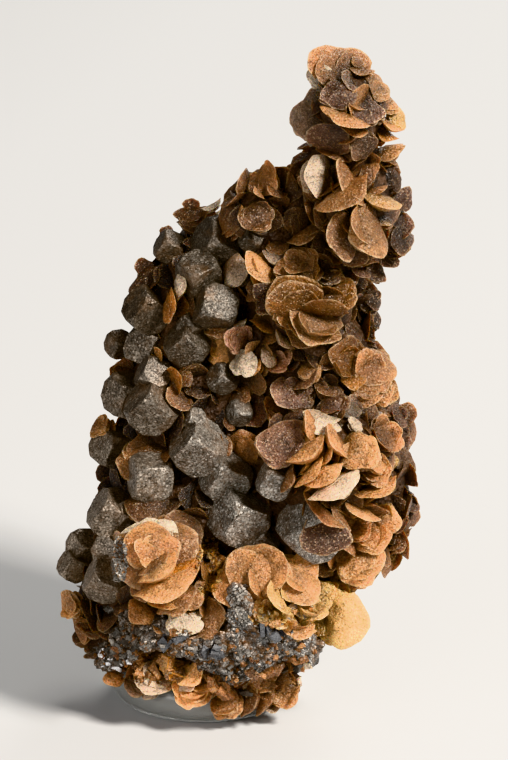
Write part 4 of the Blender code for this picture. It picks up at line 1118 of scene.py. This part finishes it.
def dressGalena():
    for name, node in list(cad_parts.items()):
        if name.startswith("galena"):
            piece = bpy.data.objects.new(f"{name}_etched", node.data.copy())
            bpy.context.scene.collection.objects.link(piece)
            weld = piece.modifiers.new("weld", "WELD")
            weld.merge_threshold = 0.00001
            bpy.context.view_layer.update()
            if name == "galena_seam":
                finishPiece(seamMass(piece), seamMaterial, "galena", name)
            else:
                finishPiece(facet(piece), crystalMaterial, "galena", name)


dressGalena()
print("galena dressed")

chipColours = {
    "steel": (0.22, 0.205, 0.185), "lead": (0.13, 0.122, 0.11), "soot": (0.07, 0.062, 0.055),
    "pale": (0.36, 0.335, 0.30), "glint": (0.90, 0.90, 0.92), "slate": (0.115, 0.120, 0.130),
}
# Rubble of the broken foot: across and up of a patch's middle, its half-width and half-height in
# mm, the number of chips, their size in mm, and the mix that they take their colours from.
rubble = [
    (5.2, 12.2, 1.1, 2.7, 150, 0.3, "frost"), (6.8, 9.2, 4.0, 1.8, 30, 0.4, "ore"),
    (1.2, 5.8, 1.3, 0.9, 14, 1.1, "slate"), (9.2, 8.6, 2.8, 0.7, 16, 1.0, "slate"),
    (-4.2, 7.4, 1.6, 0.7, 8, 1.0, "slate"),
    (4.0, 4.6, 5.2, 2.8, 190, 0.52, "ore"), (11.8, 6.3, 4.0, 1.7, 90, 0.5, "ore"),
    (-3.4, 7.0, 2.8, 1.8, 120, 0.5, "ore"), (-9.9, 7.0, 2.6, 2.6, 150, 0.52, "ore"),
    (-12.2, 11.2, 1.9, 1.9, 40, 0.7, "ore"), (-12.0, 4.9, 3.0, 1.6, 80, 0.75, "bright"),
    (-6.5, 3.6, 4.4, 2.0, 120, 1.1, "stone"), (3.2, 1.3, 4.0, 1.3, 70, 1.2, "stone"),
    (9.2, 1.8, 4.4, 2.0, 80, 1.2, "stone"), (12.2, 4.0, 2.2, 1.7, 50, 1.1, "stone"),
    (-11.2, 18.0, 1.1, 3.3, 420, 0.28, "frost"), (0.8, 17.0, 1.7, 4.2, 240, 0.42, "sponge"),
    (10.8, 10.8, 4.8, 1.8, 150, 0.65, "shards"),
]
mixes = {
    "ore": (("steel", 0.20), ("lead", 0.28), ("soot", 0.14), ("pale", 0.03), ("brown", 0.15),
            ("umber", 0.13), ("tan", 0.07)),
    "frost": (("steel", 0.40), ("pale", 0.40), ("lead", 0.20)),
    "slate": (("slate", 1.0),),
    "bright": (("steel", 0.28), ("lead", 0.25), ("glint", 0.17), ("pale", 0.14), ("umber", 0.16)),
    "stone": (("brown", 0.30), ("umber", 0.28), ("tan", 0.22), ("peach", 0.10), ("lead", 0.06),
              ("cream", 0.04)),
    "sponge": (("amber", 0.5), ("brown", 0.25), ("honey", 0.2), ("dark", 0.05)),
    "shards": (("honey", 0.34), ("peach", 0.28), ("cream", 0.14), ("amber", 0.16), ("steel", 0.08)),
}
chipLook = {
    "jitter": 0.30, "stretch": (1.0, 0.8, 0.45), "sizes": (0.45, 1.9), "sink": 0.55, "lean": 0.6, "rim": 0.7,
    "depth": 2.0, "seed": 23,
}


def addChips(name, spots, normals, sizes, colours, rng):
    # Each chip is a stretched cube whose corners are pushed off at random, turned so that its thin
    # way lies near the surface's normal.
    corners = np.array([[x, y, z] for x in (-1.0, 1.0) for y in (-1.0, 1.0) for z in (-1.0, 1.0)])
    sides = np.array([[0, 1, 3, 2], [4, 6, 7, 5], [0, 4, 5, 1], [2, 3, 7, 6], [0, 2, 6, 4], [1, 5, 7, 3]])
    count = len(spots)
    local = corners * np.array(chipLook["stretch"])
    local = local + rng.uniform(-1.0, 1.0, (count, 8, 3)) * chipLook["jitter"]
    thin = unit(normals + chipLook["lean"] * rng.normal(size=(count, 3)))
    long = unit(np.cross(thin, rng.normal(size=(count, 3))))
    axes = np.stack([long, np.cross(thin, long), thin], axis=1)
    placed = spots[:, None] + 0.5 * sizes[:, None, None] * np.einsum("nvk,nkj->nvj", local, axes)
    points = placed.reshape(-1, 3)
    quads = (sides + (np.arange(count) * 8)[:, None, None]).reshape(-1, 4)
    piece = addMesh(name, points * mm, quads, np.zeros((0, 3), int), smooth=False)
    addPaint(piece, "bladeColour", colours, 8)
    addMark(piece, "bladeRim", np.full(len(points), chipLook["rim"]))
    addMark(piece, "bladeDepth", np.full(len(points), chipLook["depth"]))
    return piece


def scatterRubble(*pieces):
    # Chips lie where rays from the viewer's side meet the seam and the core.
    rng = np.random.default_rng(chipLook["seed"])
    trees = [BVHTree.FromPolygons([v.co for v in p.data.vertices], [f.vertices for f in p.data.polygons])
             for p in pieces]
    lots = {"ore": [], "stone": []}
    for across, up, wide, high, count, size, mix in rubble:
        names, shares = zip(*mixes[mix])
        turns = rng.uniform(0.0, 2.0 * math.pi, count)
        reaches = np.sqrt(rng.uniform(0.0, 1.0, count))
        for turn, reach, name in zip(turns, reaches, rng.choice(names, count, p=shares)):
            flat = (across + wide * reach * math.cos(turn)) * toRight
            flat = flat + (up + high * reach * math.sin(turn)) * toTop
            start = Vector((flat + outside * toViewer) * mm)
            hits = [tree.ray_cast(start, Vector(-toViewer)) for tree in trees]
            hits = [hit for hit in hits if hit[0] is not None]
            if hits:
                place, normal, _, _ = min(hits, key=lambda hit: hit[3])
                small, large = chipLook["sizes"]
                edge = size * (small + (large - small) * rng.uniform() ** 3)
                spot = np.array(place) / mm + (0.5 - chipLook["sink"]) * edge * np.array(normal)
                colour = chipColours.get(name) or stoneColours[name]
                kind = "ore" if name in chipColours else "stone"
                lots[kind].append((spot, np.array(normal), edge, colour))
    made = {}
    for kind, rows in lots.items():
        spots, normals, sizes, colours = (np.array(column) for column in zip(*rows))
        keep = spots[:, 2] > sizes
        colours = colours * rng.uniform(0.75, 1.2, (len(spots), 1))
        made[kind] = addChips(f"{kind}_rubble", spots[keep], normals[keep], sizes[keep], colours[keep], rng)
    return made


rubblePieces = scatterRubble(bpy.data.objects["galena_seam_etched"], matrixPiece,
                             bpy.data.objects["siderite_rosettes_lower"])
finishPiece(rubblePieces["ore"], chipMaterial, "galena")
finishPiece(rubblePieces["stone"], bladeMaterial, "siderite")
print("rubble laid")

baseLook = {"steps": 96, "rows": 17, "lip": 0.87, "roundness": 0.55}


def turnBase():
    # The base's outline turned about Z. As a share of the node's own radius the outline's is
    # lip + (1 - lip) * cos(a)^roundness, while its height follows sin(a) from the top to the foot.
    low, high = (np.array(corner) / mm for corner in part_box("clear_base"))
    radius = high[0]
    half = 0.5 * (high[2] - low[2])
    a = np.linspace(math.pi / 2.0, -math.pi / 2.0, baseLook["rows"] - 2)
    bulge = np.cos(a).clip(0.0) ** baseLook["roundness"]
    side = radius * (baseLook["lip"] + (1.0 - baseLook["lip"]) * bulge)
    flat = 0.6 * baseLook["lip"] * radius
    reach = np.concatenate([[flat], side, [flat]])
    height = half * (1.0 + np.sin(np.concatenate([a[:1], a, a[-1:]])))
    angle = np.arange(baseLook["steps"]) * 2.0 * math.pi / baseLook["steps"]
    rings = np.stack([reach[:, None] * np.cos(angle), reach[:, None] * np.sin(angle),
                      height[:, None] + 0.0 * angle], axis=-1).reshape(-1, 3)
    verts = np.concatenate([[[0.0, 0.0, high[2]]], rings, [[0.0, 0.0, low[2]]]])
    quads, tris = poleNet(baseLook["steps"], baseLook["rows"])
    piece = addMesh("clear_base_turned", verts * mm, quads, tris)
    piece.data.set_sharp_from_angle(angle=math.radians(40.0))
    return piece


finishPiece(turnBase(), clearMaterial, "clear_base", "clear_base")
print("base turned")


def plainMaterial(name, colour):
    made, tree, shader = newMaterial(name)
    shader.inputs["Base Color"].default_value = (*colour, 1.0)
    shader.inputs["Roughness"].default_value = 0.8
    return made


def layFloor():
    verts = np.array([[-2.0, -2.0, 0.0], [2.0, -2.0, 0.0], [2.0, 2.0, 0.0], [-2.0, 2.0, 0.0]])
    floor = addMesh("paleFloor", verts, np.array([[0, 1, 2, 3]]), np.zeros((0, 3), int), False)
    floor.data.materials.append(plainMaterial("paleFloor", (0.60, 0.61, 0.62)))


# Studio lights: place in metres, size in metres, power in watts and colour.
lights = {
    "keyRight": ((0.36, -0.30, 0.46), 0.14, 7.6, (1.0, 0.93, 0.85)),
    "fillLeft": ((-0.50, -0.60, 0.30), 0.5, 3.0, (1.0, 0.97, 0.94)),
    "backRim": ((0.25, 0.50, 0.45), 0.3, 3.0, (1.0, 0.96, 0.9)),
}


def lightStudio():
    aim = Vector((0.006, 0.0, 0.045))
    for name, (place, size, power, colour) in lights.items():
        lamp = bpy.data.lights.new(name, "AREA")
        lamp.size = size
        lamp.energy = power
        lamp.color = colour
        lampObject = bpy.data.objects.new(name, lamp)
        bpy.context.scene.collection.objects.link(lampObject)
        spot = Vector(place)
        turn = (aim - spot).to_track_quat("-Z", "Y").to_matrix().to_4x4()
        lampObject.matrix_world = Matrix.Translation(spot) @ turn
    world = bpy.data.worlds.new("studio")
    bpy.context.scene.world = world
    world.use_nodes = True
    sky = world.node_tree.nodes["Background"]
    sky.inputs["Color"].default_value = (1.0, 0.98, 0.96, 1.0)
    sky.inputs["Strength"].default_value = 0.16
    bpy.context.scene.view_settings.view_transform = "Khronos PBR Neutral"


layFloor()
lightStudio()
print("studio set")
